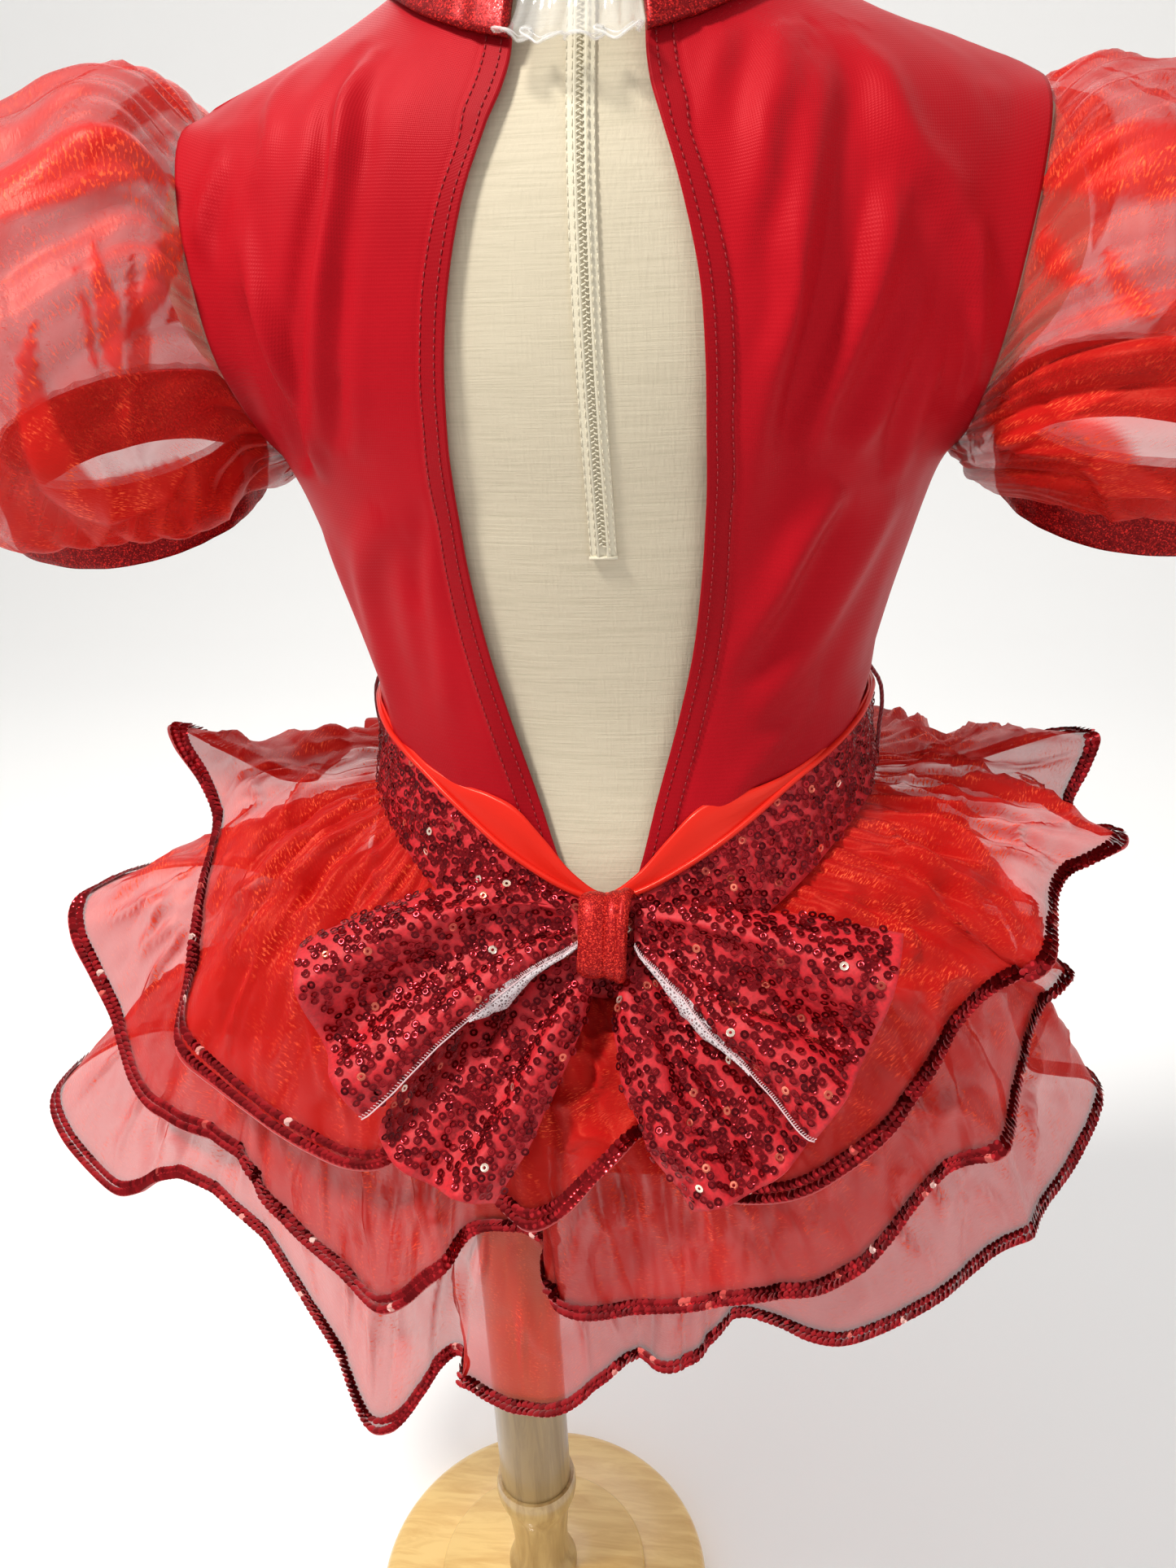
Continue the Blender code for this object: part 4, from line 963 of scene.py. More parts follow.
stitches = ([], [])
for node, seed in (("back_left", 3), ("back_right", 8), ("front", 12)):
    grid, closed = cloth_grid(node, 0.0018)
    panel = Cloth(calmed(grid), closed, 120, 100)
    hemmed = node != "front"
    if hemmed:
        ends = [np.abs(panel.points[:, k, 0] - BODY_AXIS.x).mean() for k in (0, -1)]
        side = -1 if ends[0] < ends[1] else 1
        gap = edge_distance(panel, side)
        fade = np.clip((gap - HEM_WIDTH) / 0.02, 0.0, 1.0)
        raised = HEM_RAISED / (1.0 + np.exp((gap - HEM_WIDTH) / 0.0003))
        groove = HEM_GROOVE * np.exp(-((gap - HEM_WIDTH) / 0.0012) ** 2)
        panel.lift(knit_folds(panel, node, seed) * fade + (raised - groove))
        gap = edge_distance(panel, side)
        for inset in STITCH_INSETS:
            stitch_along(stitch_line(panel, gap, inset), stitches)
    else:
        panel.lift(knit_folds(panel, node, seed))
    off_cover(panel, COVER_GAP)
    piece = show(node + "_knit", panel.mesh(node + "_knit", KNIT_THICKNESS), red_knit, "knit", node)
    if hemmed:
        # The hem band is darker: the outer face of each cell in it takes the second tone.
        piece.data.materials.append(hem_knit)
        inside = gap < HEM_WIDTH
        marks = np.zeros(len(piece.data.polygons), dtype=np.int32)
        cells = (inside[:-1, :-1] & inside[:-1, 1:]).reshape(-1)
        marks[0:2 * len(cells):2] = cells
        piece.data.polygons.foreach_set("material_index", marks)

dark_thread = finish("stitch_thread", (0.30, 0.005, 0.010), 0.6)[0]
show("keyhole_stitches", raw_mesh("keyhole_stitches", stitches), dark_thread, "thread")


def plain_cloth(name, node, wall, rows, columns, material, slot, thickness, lift, outward=None):
    """A smooth piece of cloth laid on its node."""
    grid, closed = cloth_grid(node, wall, outward)
    cloth = Cloth(grid, closed, rows, columns)
    cloth.lift(lift(cloth))
    piece = show(name, cloth.mesh(name, thickness), material, slot, node)
    return piece, cloth


# The crotch piece between the leg openings keeps its solid's own mesh, rounded by subdivision.
bm = welded("gusset")
bmesh.ops.join_triangles(bm, faces=bm.faces, angle_face_threshold=0.6, angle_shape_threshold=0.9)
gusset_mesh = bpy.data.meshes.new("gusset_knit")
bm.to_mesh(gusset_mesh)
bm.free()
gusset_piece = show("gusset_knit", gusset_mesh, red_knit, "knit", "gusset")
rounder = gusset_piece.modifiers.new("round", "SUBSURF")
rounder.levels = 2
rounder.render_levels = 2


# The collar: a folded, lightly padded band of glitter foil lycra, open at the back. Each end is
# turned in and stitched down.
COLLAR_END_STITCH = 0.017


def glitter_foil(name, deep, painted_sparkle, grain, metal, roughness):
    made, nodes, links, shader = finish(name, deep, roughness, metallic=metal)
    shader.inputs["Specular Tint"].default_value = (1.0, 0.25, 0.25, 1.0)
    cells = pattern(nodes, links, "ShaderNodeTexVoronoi", Scale=grain)
    speck = nodes.new("ShaderNodeSeparateColor")
    links.new(cells.outputs["Color"], speck.inputs["Color"])
    # Random cells of the glitter: darker ones are its own tone; lighter ones, up to the glint colour, are
    # painted sparkle.
    darkest = tuple(0.55 * c for c in deep)
    painted_glint = tuple(min(1.0, 1.9 * c) for c in painted_sparkle)
    ramp(nodes, links, speck.outputs["Red"], [(0.0, darkest), (0.62, deep), (0.86, painted_sparkle), (1.0, painted_glint)],
         shader.inputs["Base Color"])
    ramp(nodes, links, speck.outputs["Green"], [(0.0, (0.55,) * 3), (0.7, (0.38,) * 3), (1.0, (0.16,) * 3)],
         shader.inputs["Roughness"])
    relief(nodes, links, shader, speck.outputs["Blue"], 0.0004, 0.5)
    return made


red_foil = glitter_foil("red_foil", (0.20, 0.004, 0.006), (0.40, 0.014, 0.012), 2300.0, 0.35, 0.32)


def collar_pad(cloth):
    """Rounded upper and lower rolls, a stitched line near each end and slight lengthwise waves."""
    t = cloth.share_down
    roll = 0.0010 * np.sin(math.pi * t) ** 0.5
    end = np.minimum(cloth.across, cloth.width[:, None] - cloth.across)
    groove = -0.0012 * np.exp(-((end - COLLAR_END_STITCH) / 0.0012) ** 2)
    return roll + groove + 0.0004 * soft_noise(cloth.points, 0.03, 4)


collar_piece = plain_cloth(
    "collar_foil", "collar", 0.0045, 20, 180, red_foil, "foil", 0.0030, collar_pad)[0]


# The neck strap: a clear plastic strap between the collar's ends, gathered into upright ribs,
# its lower edge curled and ruffled.
clear, nodes, links, shader = finish("clear_strap", (0.93, 0.92, 0.88), 0.08)
shader.inputs["Alpha"].default_value = 0.20
shader.inputs["Specular IOR Level"].default_value = 1.0
shader.inputs["Coat Weight"].default_value = 1.0
shader.inputs["Coat Roughness"].default_value = 0.05


def strap_ribs(cloth):
    s, t = cloth.share_across, cloth.share_down
    ribs = 0.0009 * np.abs(np.sin(math.pi * (s * 7.0 + 0.6 * (t - 0.5))))
    curl = 0.0035 * np.clip((t - 0.80) / 0.20, 0.0, 1.0) ** 1.5 * (1.0 + 0.6 * np.sin(s * 38.0))
    return ribs + curl - 0.0004


strap_cloth = plain_cloth(
    "strap_clear", "neck_strap", 0.0017, 40, 90, clear, "clear_plastic", 0.0008, strap_ribs)[1]
frill = ([], [])
tube([Vector(p) for p in strap_cloth.points[-1]], 0.0004, 6, mesh_data=frill)
tube([Vector(p) for p in strap_cloth.points[-4]], 0.0003, 5, mesh_data=frill)
clear_edge = finish("clear_edge", (0.93, 0.92, 0.90), 0.15, coat_weight=1.0)[0]
clear_edge.node_tree.nodes["Principled BSDF"].inputs["Alpha"].default_value = 0.4
show("strap_frill", raw_mesh("strap_frill", frill), clear_edge, "clear_plastic")


# Organza: a sheer, crisp weave of shiny orange-red thread. One layer lets the light through, two
# read as solid colour, and the sides of its folds close up. Its sparkle along the threads is painted
# highlight: glint colour painted into the base colour in dashes and patches, most on steep fold sides.
CLOSED_COVER = 0.94


def organza(name, tone, painted_glint, cover):
    made, nodes, links, shader = finish(name, tone, 0.38)
    shader.inputs["Specular IOR Level"].default_value = 0.45
    shader.inputs["Specular Tint"].default_value = (1.0, 0.18, 0.10, 1.0)
    shader.inputs["Sheen Weight"].default_value = 0.14
    shader.inputs["Sheen Roughness"].default_value = 0.3
    shader.inputs["Sheen Tint"].default_value = (1.0, 0.10, 0.06, 1.0)
    fold = named_node(nodes, "ShaderNodeAttribute", attribute_name="fold").outputs["Fac"]
    dashes = pattern(nodes, links, "ShaderNodeTexNoise", stretch=(330.0, 1250.0, 1.0), weave=True,
                     Scale=1.0, Detail=2.0, Roughness=0.6)
    drift = pattern(nodes, links, "ShaderNodeTexNoise", stretch=(95.0, 28.0, 1.0), weave=True,
                    Scale=1.0, Detail=3.0, Roughness=0.6)
    # Painted highlight: sparkle dashes and patches, most on steep fold sides, turn the colour to the glint
    # colour and make it more opaque.
    painted_sparkle_patch = ramp(nodes, links, drift.outputs["Fac"], [(0.44, (0.0,) * 3), (0.62, (1.0,) * 3)])
    painted_spark = ramp(nodes, links, dashes.outputs["Fac"], [(0.52, (0.0,) * 3), (0.66, (1.0,) * 3)])
    painted_sparkle_spots = reckoned(nodes, links, "MULTIPLY", painted_sparkle_patch.outputs["Color"], painted_spark.outputs["Color"])
    painted_shine_on_folds = reckoned(nodes, links, "MULTIPLY_ADD", fold, 0.55, 0.16)
    both = reckoned(nodes, links, "MULTIPLY", painted_sparkle_spots, painted_shine_on_folds, clamp=True)
    painted_half_glint = tuple(0.7 * a + 0.3 * b for a, b in zip(tone, painted_glint))
    ramp(nodes, links, both, [(0.0, tone), (0.16, painted_half_glint), (0.5, painted_glint)], shader.inputs["Base Color"])
    veil = reckoned(nodes, links, "MULTIPLY_ADD", fold, CLOSED_COVER - cover, cover)
    solid = reckoned(nodes, links, "MULTIPLY_ADD", both, 0.6, veil, clamp=True)
    links.new(solid, shader.inputs["Alpha"])
    relief(nodes, links, shader, dashes.outputs["Fac"], 0.0005, 0.5)
    return made


sheer = organza("sheer_organza", (0.52, 0.010, 0.009), (1.0, 0.13, 0.05), 0.70)
sheer_puff = organza("puff_organza", (0.55, 0.012, 0.010), (1.0, 0.13, 0.05), 0.50)


# The sleeves: puffs of organza, gathered tightly into the armhole and into the foil cuffs. The
# puff stands away from the arm in big soft dents.
def creases(points, size, seed, sharp):
    """Thin ridges of crumpled crisp cloth, from 0 to 1, about `size` metres apart."""
    ridge = 1.0 - np.minimum(1.0, np.abs(soft_noise(points, size, seed, 2)) * 2.2)
    return ridge ** sharp


FOLD_SLOPE = 1.1
PINCH_STEPS = 32
PINCH_LIFT = 0.0010


def sleeve_gathers(cloth, seed):
    """Fine gathers that fade from both seams, big soft dents, and thin creases between."""
    s, t = cloth.share_across, cloth.share_down
    swing = 2.0 * math.pi * s
    wander = 0.9 * np.sin(3.0 * swing + seed) + 0.6 * np.sin(5.0 * swing + 2.0 * seed)
    top = np.exp(-t / 0.18) * np.clip(t / 0.02, 0.0, 1.0)
    low = np.exp(-np.abs(0.86 - t) / 0.12)
    tight = np.abs(np.cos(17.0 * swing + wander)) - 0.6
    loose = np.abs(np.cos(13.0 * swing - wander)) - 0.6
    gathers = 0.0036 * (top * tight + low * loose)
    broad = 0.0042 * np.exp(-((t - 0.26) / 0.18) ** 2) * (np.abs(np.cos(6.0 * swing + 1.3 * wander)) - 0.6)
    p = cloth.points
    dents = soft_noise(p, 0.070, seed + 20, 2)
    thin = creases(p * np.array([1.0, 1.0, 0.6]), 0.090, seed + 40, 3.0)
    middle = np.clip(t / 0.15, 0.0, 1.0) * np.clip((0.86 - t) / 0.12, 0.0, 1.0)
    return gathers + broad + middle * (0.0036 * dents + 0.0022 * thin)


def doubled(cloth, route, half_width, belly):
    """Where the cloth lies double in a pinched fold along a route, from 0 to 1."""
    way = spline(np.array(route), PINCH_STEPS, False)
    line = np.array([tuple(cloth.at(s % 1.0, t)[0]) for s, t in way])
    apart = np.linalg.norm(cloth.points[:, :, None, :] - line, axis=3)
    nearest = apart.argmin(2)
    along = nearest / (PINCH_STEPS - 1.0)
    wide = half_width * np.sin(math.pi * (0.04 + 0.92 * along) ** belly) ** 0.8
    return np.clip(4.0 - 4.0 * apart.min(2) / wide, 0.0, 1.0)


# Pinched folds of the puffs: route as (share round from the lowest point, share down), half
# width, belly.
PINCHES = {
    "left": (
        (((0.63, 0.00), (0.655, 0.10), (0.65, 0.20), (0.635, 0.34), (0.60, 0.50)), 0.0150, 1.0),
        (((0.70, 0.17), (0.75, 0.19), (0.79, 0.24)), 0.0050, 1.4),
        (((0.68, 0.00), (0.75, 0.10), (0.775, 0.20)), 0.0062, 0.6),
        (((0.72, 0.21), (0.75, 0.225), (0.78, 0.26)), 0.0018, 1.5),
        (((0.74, 0.30), (0.79, 0.45), (0.82, 0.54), (0.86, 0.44), (0.87, 0.30)), 0.0110, 1.0),
        (((0.40, 0.02), (0.42, 0.18), (0.38, 0.34)), 0.0100, 0.7),
        (((0.22, 0.00), (0.25, 0.16), (0.24, 0.36), (0.27, 0.50)), 0.0120, 1.0),
        (((0.32, 0.40), (0.29, 0.58), (0.31, 0.74)), 0.0060, 1.2),
        (((0.07, 0.10), (0.10, 0.30), (0.08, 0.50)), 0.0090, 0.8),
        (((0.56, 0.45), (0.53, 0.60), (0.55, 0.74)), 0.0070, 1.3),
        (((0.70, 0.48), (0.69, 0.62), (0.72, 0.76)), 0.0070, 1.3),
    ),
    "right": (
        (((0.33, 0.00), (0.30, 0.08), (0.27, 0.17), (0.25, 0.30), (0.28, 0.46)), 0.0140, 1.0),
        (((0.28, 0.02), (0.22, 0.09), (0.19, 0.16)), 0.0052, 0.7),
        (((0.22, 0.15), (0.18, 0.20), (0.14, 0.27)), 0.0045, 1.4),
        (((0.03, 0.20), (0.02, 0.36), (0.97, 0.50), (0.96, 0.62)), 0.0110, 1.0),
        (((0.09, 0.08), (0.06, 0.18), (0.08, 0.30)), 0.0070, 0.9),
        (((0.58, 0.02), (0.56, 0.18), (0.60, 0.34)), 0.0100, 0.7),
        (((0.78, 0.00), (0.75, 0.16), (0.76, 0.36), (0.73, 0.50)), 0.0120, 1.0),
        (((0.68, 0.40), (0.71, 0.58), (0.69, 0.74)), 0.0060, 1.2),
        (((0.44, 0.45), (0.47, 0.60), (0.45, 0.74)), 0.0070, 1.3),
        (((0.31, 0.50), (0.33, 0.64), (0.30, 0.76)), 0.0070, 1.3),
    ),
}


def cuff_swell(cloth):
    """The foil cuff bellies out a little between its seams."""
    return 0.0006 * np.sin(math.pi * cloth.share_down) + 0.0007 * soft_noise(cloth.points, 0.02, 9)


for name, side, seed in (("left", 1.0, 1.0), ("right", -1.0, 4.0)):
    arm = BODY_AXIS + Vector((0.205 * side, 0.0, 0.17))
    grid, closed = cloth_grid(
        "sleeve_" + name, 0.00165, outward=lambda p, arm=arm: (p - arm).normalized(),
        first=lambda points: -abs(sum(p.x for p in points) / len(points) - BODY_AXIS.x),
        start=lambda p: -p.z)
    puff = Cloth(grid, closed, 110, 230)
    rise = sleeve_gathers(puff, seed)
    puff.mark_folds(rise, FOLD_SLOPE)
    for route, half_width, belly in PINCHES[name]:
        if max(s for s, t in route) - min(s for s, t in route) > 0.5:
            route = tuple((s + 1.0 if s < 0.5 else s, t) for s, t in route)
        laid = doubled(puff, route, half_width, belly)
        puff.steepness = np.maximum(puff.steepness, 0.95 * laid)
        rise = rise + PINCH_LIFT * laid
    puff.lift(rise)
    piece = show("puff_" + name, puff.mesh("puff_" + name), sheer_puff, "organza", "sleeve_" + name)
    cuff_piece, cuff_cloth = plain_cloth(
        "cuff_foil_" + name, "cuff_" + name, 0.003, 16, 140, red_foil, "foil", 0.0018, cuff_swell,
        outward=lambda p, arm=arm: Vector((p.x - arm.x, p.y - arm.y, 0.0)).normalized())


# Sequins: dark red rings, punched from foil film, chain-sewn in wandering lines on stretch jersey.
# Each lies at its own slight tilt, so a few catch the light; a few others are given light tones, which are
# painted glints.
RING_OUTER = 0.00165
RING_INNER = 0.00062
RING_STEP = 0.0029
RING_SIDES = 9
RING_FILL = 0.66
RING_MARGIN = 0.002
FILM_LIFT = 0.0007


def ring_chains(cloth, seed):
    """Places of rings along wandering chains: (point, normal, direction)."""
    chance = random.Random(seed)
    taken = {}
    placed = []

    def key(p):
        return tuple(int(math.floor(c / RING_STEP)) for c in p)

    def free(p, skip):
        kx, ky, kz = key(p)
        for dx in (-1, 0, 1):
            for dy in (-1, 0, 1):
                for dz in (-1, 0, 1):
                    for other in taken.get((kx + dx, ky + dy, kz + dz), ()):
                        if other != skip and (placed[other][0] - p).length < RING_STEP * 0.93:
                            return False
        return True

    area = float(cloth.width.mean() * cloth.down[-1].mean())
    goal = int(area * RING_FILL / (RING_STEP * RING_STEP * 1.05))
    tries = 0
    while len(placed) < goal and tries < goal * 9:
        tries += 1
        s, t = chance.random(), chance.uniform(0.02, 0.98)
        heading = chance.uniform(0, 2 * math.pi)
        last = -1
        for link in range(chance.randint(4, 16)):
            point, normal, along, downward = cloth.at(s, t)
            if not free(point, last):
                break
            taken.setdefault(key(point), []).append(len(placed))
            last = len(placed)
            e1 = along.normalized()
            e2 = normal.cross(e1).normalized()
            way = e1 * math.cos(heading) + e2 * math.sin(heading)
            placed.append((point, normal, way))
            step = way * RING_STEP
            down2 = downward - e1 * downward.dot(e1)
            dt = step.dot(down2) / max(down2.length_squared, 1e-9)
            s += (step.dot(e1) - dt * downward.dot(e1)) / max(along.length, 1e-6)
            t += dt
            edge_t = RING_MARGIN / max(downward.length, 1e-6)
            edge_s = RING_MARGIN / max(along.length, 1e-6)
            if not edge_t < t < 1.0 - edge_t or (not cloth.closed and not edge_s < s < 1.0 - edge_s):
                break
            heading += chance.gauss(0.0, 0.75)
    return placed


def film_ring(verts, centre, axes, up, radius, rise, sides):
    """Points round a sequin at one radius, a little up or down from its middle."""
    for k in range(sides):
        turn = 2 * math.pi * k / sides
        rim = (axes[0] * math.cos(turn) + axes[1] * math.sin(turn)) * radius
        verts.append(tuple(centre + rim + up * rise))


def film_band(faces, low, sides):
    """Faces between one ring of points and the next."""
    for k in range(sides):
        j = (k + 1) % sides
        faces.append((low + k, low + j, low + sides + j, low + sides + k))


def toned_mesh(name, verts, faces, tones_and_painted_glints):
    """The sequins of one piece as one mesh, each with its own tone; the lightest tones are painted glints.
    """
    mesh = raw_mesh(name, (verts, faces))
    tint = mesh.attributes.new("tone", "FLOAT", "FACE")
    tint.data.foreach_set("value", tones_and_painted_glints)
    return mesh


def ring_sequins(name, places, seed):
    """Rings of bent film, sewn on at their places."""
    chance = random.Random(seed)
    verts, faces, tones_and_painted_glints = [], [], []
    for point, normal, way in places:
        tilt = Vector((chance.gauss(0, 0.16), chance.gauss(0, 0.16), 0.0))
        side = normal.cross(way).normalized()
        up = (normal + way * tilt.x + side * tilt.y).normalized()
        e1 = (way - up * way.dot(up)).normalized()
        e2 = up.cross(e1)
        centre = point + normal * (FILM_LIFT + 0.0002 * chance.random())
        base = len(verts)
        for radius, rise in ((RING_OUTER, 0.00018), (RING_OUTER * 0.72, 0.0), (RING_INNER, 0.00012)):
            film_ring(verts, centre, (e1, e2), up, radius, rise, RING_SIDES)
        film_band(faces, base, RING_SIDES)
        film_band(faces, base + RING_SIDES, RING_SIDES)
        # A few rings take light tones: painted glints.
        painted_glint = chance.random()
        tone = chance.uniform(0.0, 0.42) if painted_glint < 0.97 else chance.uniform(0.5, 0.72)
        if painted_glint > 0.994:
            tone = 1.0
        tones_and_painted_glints += [tone] * (2 * RING_SIDES)
    return show(name, toned_mesh(name, verts, faces, tones_and_painted_glints), ring_film, "sequin")


def sequin_film(name, dark, mid, painted_sparkle, painted_glint):
    made, nodes, links, shader = finish(name, mid, 0.16, metallic=0.85)
    tone = named_node(nodes, "ShaderNodeAttribute", attribute_name="tone")
    # Dark to mid is the film's own random tone; the bright stops toward the glint colour are painted glints.
    ramp(nodes, links, tone.outputs["Fac"], [(0.0, dark), (0.45, mid), (0.70, painted_sparkle), (1.0, painted_glint)],
         shader.inputs["Base Color"])
    return made


ring_film = sequin_film(
    "ring_film", (0.085, 0.002, 0.005), (0.30, 0.008, 0.014), (0.95, 0.22, 0.14), (1.0, 0.80, 0.66))


def jersey(name, tone):
    made, nodes, links, shader = finish(name, tone, 0.62, sheen_weight=0.2)
    shader.inputs["Sheen Tint"].default_value = (1.0, 0.08, 0.10, 1.0)
    fine = pattern(nodes, links, "ShaderNodeTexNoise", Scale=700.0, Detail=3.0)
    ramp(nodes, links, fine.outputs["Fac"], [(0.35, tuple(0.75 * c for c in tone)), (0.6, tone)],
         shader.inputs["Base Color"])
    relief(nodes, links, shader, fine.outputs["Fac"], 0.0003, 0.5)
    return made


pink_jersey = jersey("pink_jersey", (0.60, 0.008, 0.017))


# The belt: a band of sequinned jersey that dips to a point at the back, lined with glossy satin
# that rolls out along its upper edge. A thread loop holds it at each side seam.
satin, nodes, links, shader = finish("red_satin", (0.66, 0.018, 0.010), 0.28)
shader.inputs["Specular IOR Level"].default_value = 0.7
shader.inputs["Specular Tint"].default_value = (1.0, 0.28, 0.20, 1.0)
shader.inputs["Anisotropic"].default_value = 0.5
floats = pattern(nodes, links, "ShaderNodeTexNoise", stretch=(60.0, 700.0, 1.0), weave=True,
                 Scale=1.0, Detail=3.0)
relief(nodes, links, shader, floats.outputs["Fac"], 0.0003, 0.4)


def belt_swell(cloth):
    """The stretched band bellies out a little between its seams."""
    return 0.0005 * np.sin(math.pi * cloth.share_down) + 0.0004 * soft_noise(cloth.points, 0.03, 2)


belt_piece, belt_cloth = plain_cloth(
    "belt_jersey", "belt", 0.0021, 16, 260, pink_jersey, "sequin", 0.0012, belt_swell)
belt_rings = ring_sequins("belt_rings", ring_chains(belt_cloth, 21), 31)


def satin_roll(cloth):
    """The lining's free edge rolls outwards, with soft pull wrinkles."""
    t = cloth.share_down
    free_edge = np.clip(1.0 - t / 0.5, 0.0, 1.0)
    wrinkles = np.sin(cloth.across / 0.013 + 2.5 * soft_noise(cloth.points, 0.05, 6))
    return 0.0014 + free_edge * (0.0012 * np.sin(math.pi * np.clip(t / 0.5, 0.0, 1.0)) + 0.00055 * wrinkles)


facing_piece, facing_cloth = plain_cloth(
    "facing_satin", "belt_facing", 0.0016, 16, 260, satin, "satin", 0.0008, satin_roll)
piping = ([], [])
upper_edge = [Vector(p) + Vector(n) * 0.0004 for p, n in zip(belt_cloth.points[0], belt_cloth.normals[0])]
tube(upper_edge + upper_edge[:1], 0.0013, 8, mesh_data=piping)
show("belt_piping", raw_mesh("belt_piping", piping), satin, "satin")

loop_thread, nodes, links, shader = finish("loop_thread", (0.22, 0.004, 0.010), 0.7, sheen_weight=0.4)
twist = pattern(nodes, links, "ShaderNodeTexWave",
                Scale=240.0, Distortion=1.0, bands_direction="DIAGONAL")
relief(nodes, links, shader, twist.outputs["Fac"], 0.0004, 0.8)
for side in ("left", "right"):
    loop_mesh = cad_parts["belt_loop_" + side].data
    loop_mesh.materials.clear()
    loop_mesh.materials.append(loop_thread)


# The skirt: three gathered ruffles of organza, each with a rolled hem that carries two lines of
# overlapping cup sequins.
CUP_RADIUS = 0.0021
CUP_STEP = 0.0025
CUP_LINES = (0.0018, 0.0050)
CUP_SIDES = 8
CUP_LIFT = 0.0012
CUP_LEAN = 0.34
HEM_RADIUS = 0.0009


def ruffle_folds(cloth, seed):
    """Dense gathers under the belt that merge into fewer, deeper folds towards the hem."""
    s, t = cloth.share_across, cloth.share_down
    swing = 2.0 * math.pi * s
    wander = 1.1 * np.sin(4.0 * swing + seed) + 0.8 * np.sin(7.0 * swing + 1.7 * seed)
    drift = wander * (0.6 + 1.1 * t)
    under_belt = 0.0032 * np.exp(-t / 0.26) * np.clip(t / 0.04, 0.0, 1.0)
    dense = under_belt * (np.abs(np.cos(52.0 * swing + drift)) - 0.6)
    halfway = 0.0085 * np.exp(-((t - 0.40) / 0.26) ** 2)
    middle = halfway * (np.abs(np.cos(21.0 * swing + 1.9 * drift)) - 0.6)
    to_hem = 0.0060 * np.clip((t - 0.35) / 0.65, 0.0, 1.0)
    late = to_hem * (np.abs(np.cos(14.0 * swing + 1.5 * drift + 2.0 * t)) - 0.6)
    free = np.clip((1.0 - t) / 0.26, 0.0, 1.0)
    near_hem = free * free * (3.0 - 2.0 * free)
    p = cloth.points
    grain = np.stack([swing * 0.12, t * 0.045, np.full(t.shape, 0.01 * seed)], 2)
    thin = 0.0042 * creases(grain, 0.028, int(seed) + 60, 2.5) * np.clip(t * 4.0, 0.0, 1.0)
    crumple = 0.0022 * soft_noise(p, 0.028, int(seed) + 80, 2) * np.clip(t * 3.0, 0.0, 1.0)
    return dense + near_hem * (middle + thin + crumple) + (0.25 + 0.75 * near_hem) * late


def cup_lines(cloth):
    """Two lines of overlapping cups along the hem, lapped like scales."""
    verts, faces, tones_and_painted_glints = [], [], []
    chance = random.Random(int(cloth.width[-1] * 1e4))
    drop = float(np.median(cloth.down[-1]))
    for inset in CUP_LINES:
        share = 1.0 - inset / drop
        length = float(cloth.width[-1])
        count = int(length / CUP_STEP)
        row = cloth.points.shape[0] - 1
        run = np.concatenate([cloth.across[row], [cloth.width[row]]])
        shares = np.concatenate([cloth.share_across[row], [1.0]])
        for k in range(count):
            s = float(np.interp(length * k / count, run, shares))
            point, normal, along = cloth.at(s, share)[:3]
            way = along.normalized()
            up = (normal + way * CUP_LEAN + Vector((chance.gauss(0, 0.05),) * 3)).normalized()
            e1 = (way - up * way.dot(up)).normalized()
            e2 = up.cross(e1)
            centre = point + normal * CUP_LIFT
            base = len(verts)
            for radius, rise in ((CUP_RADIUS, 0.0003), (CUP_RADIUS * 0.55, -0.0001)):
                film_ring(verts, centre, (e1, e2), up, radius, rise, CUP_SIDES)
            film_band(faces, base, CUP_SIDES)
            faces.append(tuple(base + CUP_SIDES + j for j in range(CUP_SIDES)))
            # A few cups take light tones: painted glints.
            painted_glint = chance.random()
            tone = chance.uniform(0.0, 0.4) if painted_glint < 0.975 else chance.uniform(0.6, 1.0)
            tones_and_painted_glints += [tone] * (CUP_SIDES + 1)
    return toned_mesh("cups", verts, faces, tones_and_painted_glints)


cup_film = sequin_film(
    "cup_film", (0.17, 0.004, 0.006), (0.44, 0.012, 0.018), (0.80, 0.12, 0.10), (1.0, 0.62, 0.55))
hem_thread = finish("hem_thread", (0.50, 0.012, 0.014), 0.5, sheen_weight=0.3)[0]
# Curls where the crisp hem folds back on itself: share round, sideways reach, reach out and back.
CURLS = {
    1: ((0.232, 0.0070, 0.007), (0.402, 0.0085, -0.008), (0.070, 0.0070, 0.007), (0.71, 0.0080, 0.007)),
    2: ((0.205, 0.0095, 0.008), (0.285, 0.0090, -0.008), (0.452, 0.0080, 0.008), (0.64, 0.0090, 0.008),
        (0.86, 0.0090, -0.008)),
    3: ((0.250, 0.0085, 0.008), (0.345, 0.0080, -0.008), (0.520, 0.0080, 0.007), (0.78, 0.0085, 0.007)),
}
CURL_SPAN = 0.042


def curl_hem(cloth, place, reach, tuck):
    """Fold a length of hem back over itself in a soft S, fading out up the cloth."""
    gap = ((cloth.share_across - place + 0.5) % 1.0 - 0.5) * cloth.width[-1] / CURL_SPAN
    near = np.clip(1.0 - np.abs(gap), 0.0, 1.0)
    window = near * near * (3.0 - 2.0 * near)
    low = np.clip((cloth.share_down - 0.52) / 0.48, 0.0, 1.0) ** 1.7
    along = np.roll(cloth.points, -1, 1) - np.roll(cloth.points, 1, 1)
    along /= np.maximum(np.linalg.norm(along, axis=2, keepdims=True), 1e-9)
    sideways = -0.7 * reach * np.sin(math.pi * gap) * window * low
    outward = tuck * np.cos(math.pi * gap) * window * low
    cloth.points = cloth.points + along * sideways[..., None] + cloth.normals * outward[..., None]
    cloth.measure()


def up_and_out(p):
    return Vector((p.x - BODY_AXIS.x, p.y - BODY_AXIS.y, 0.12)).normalized()


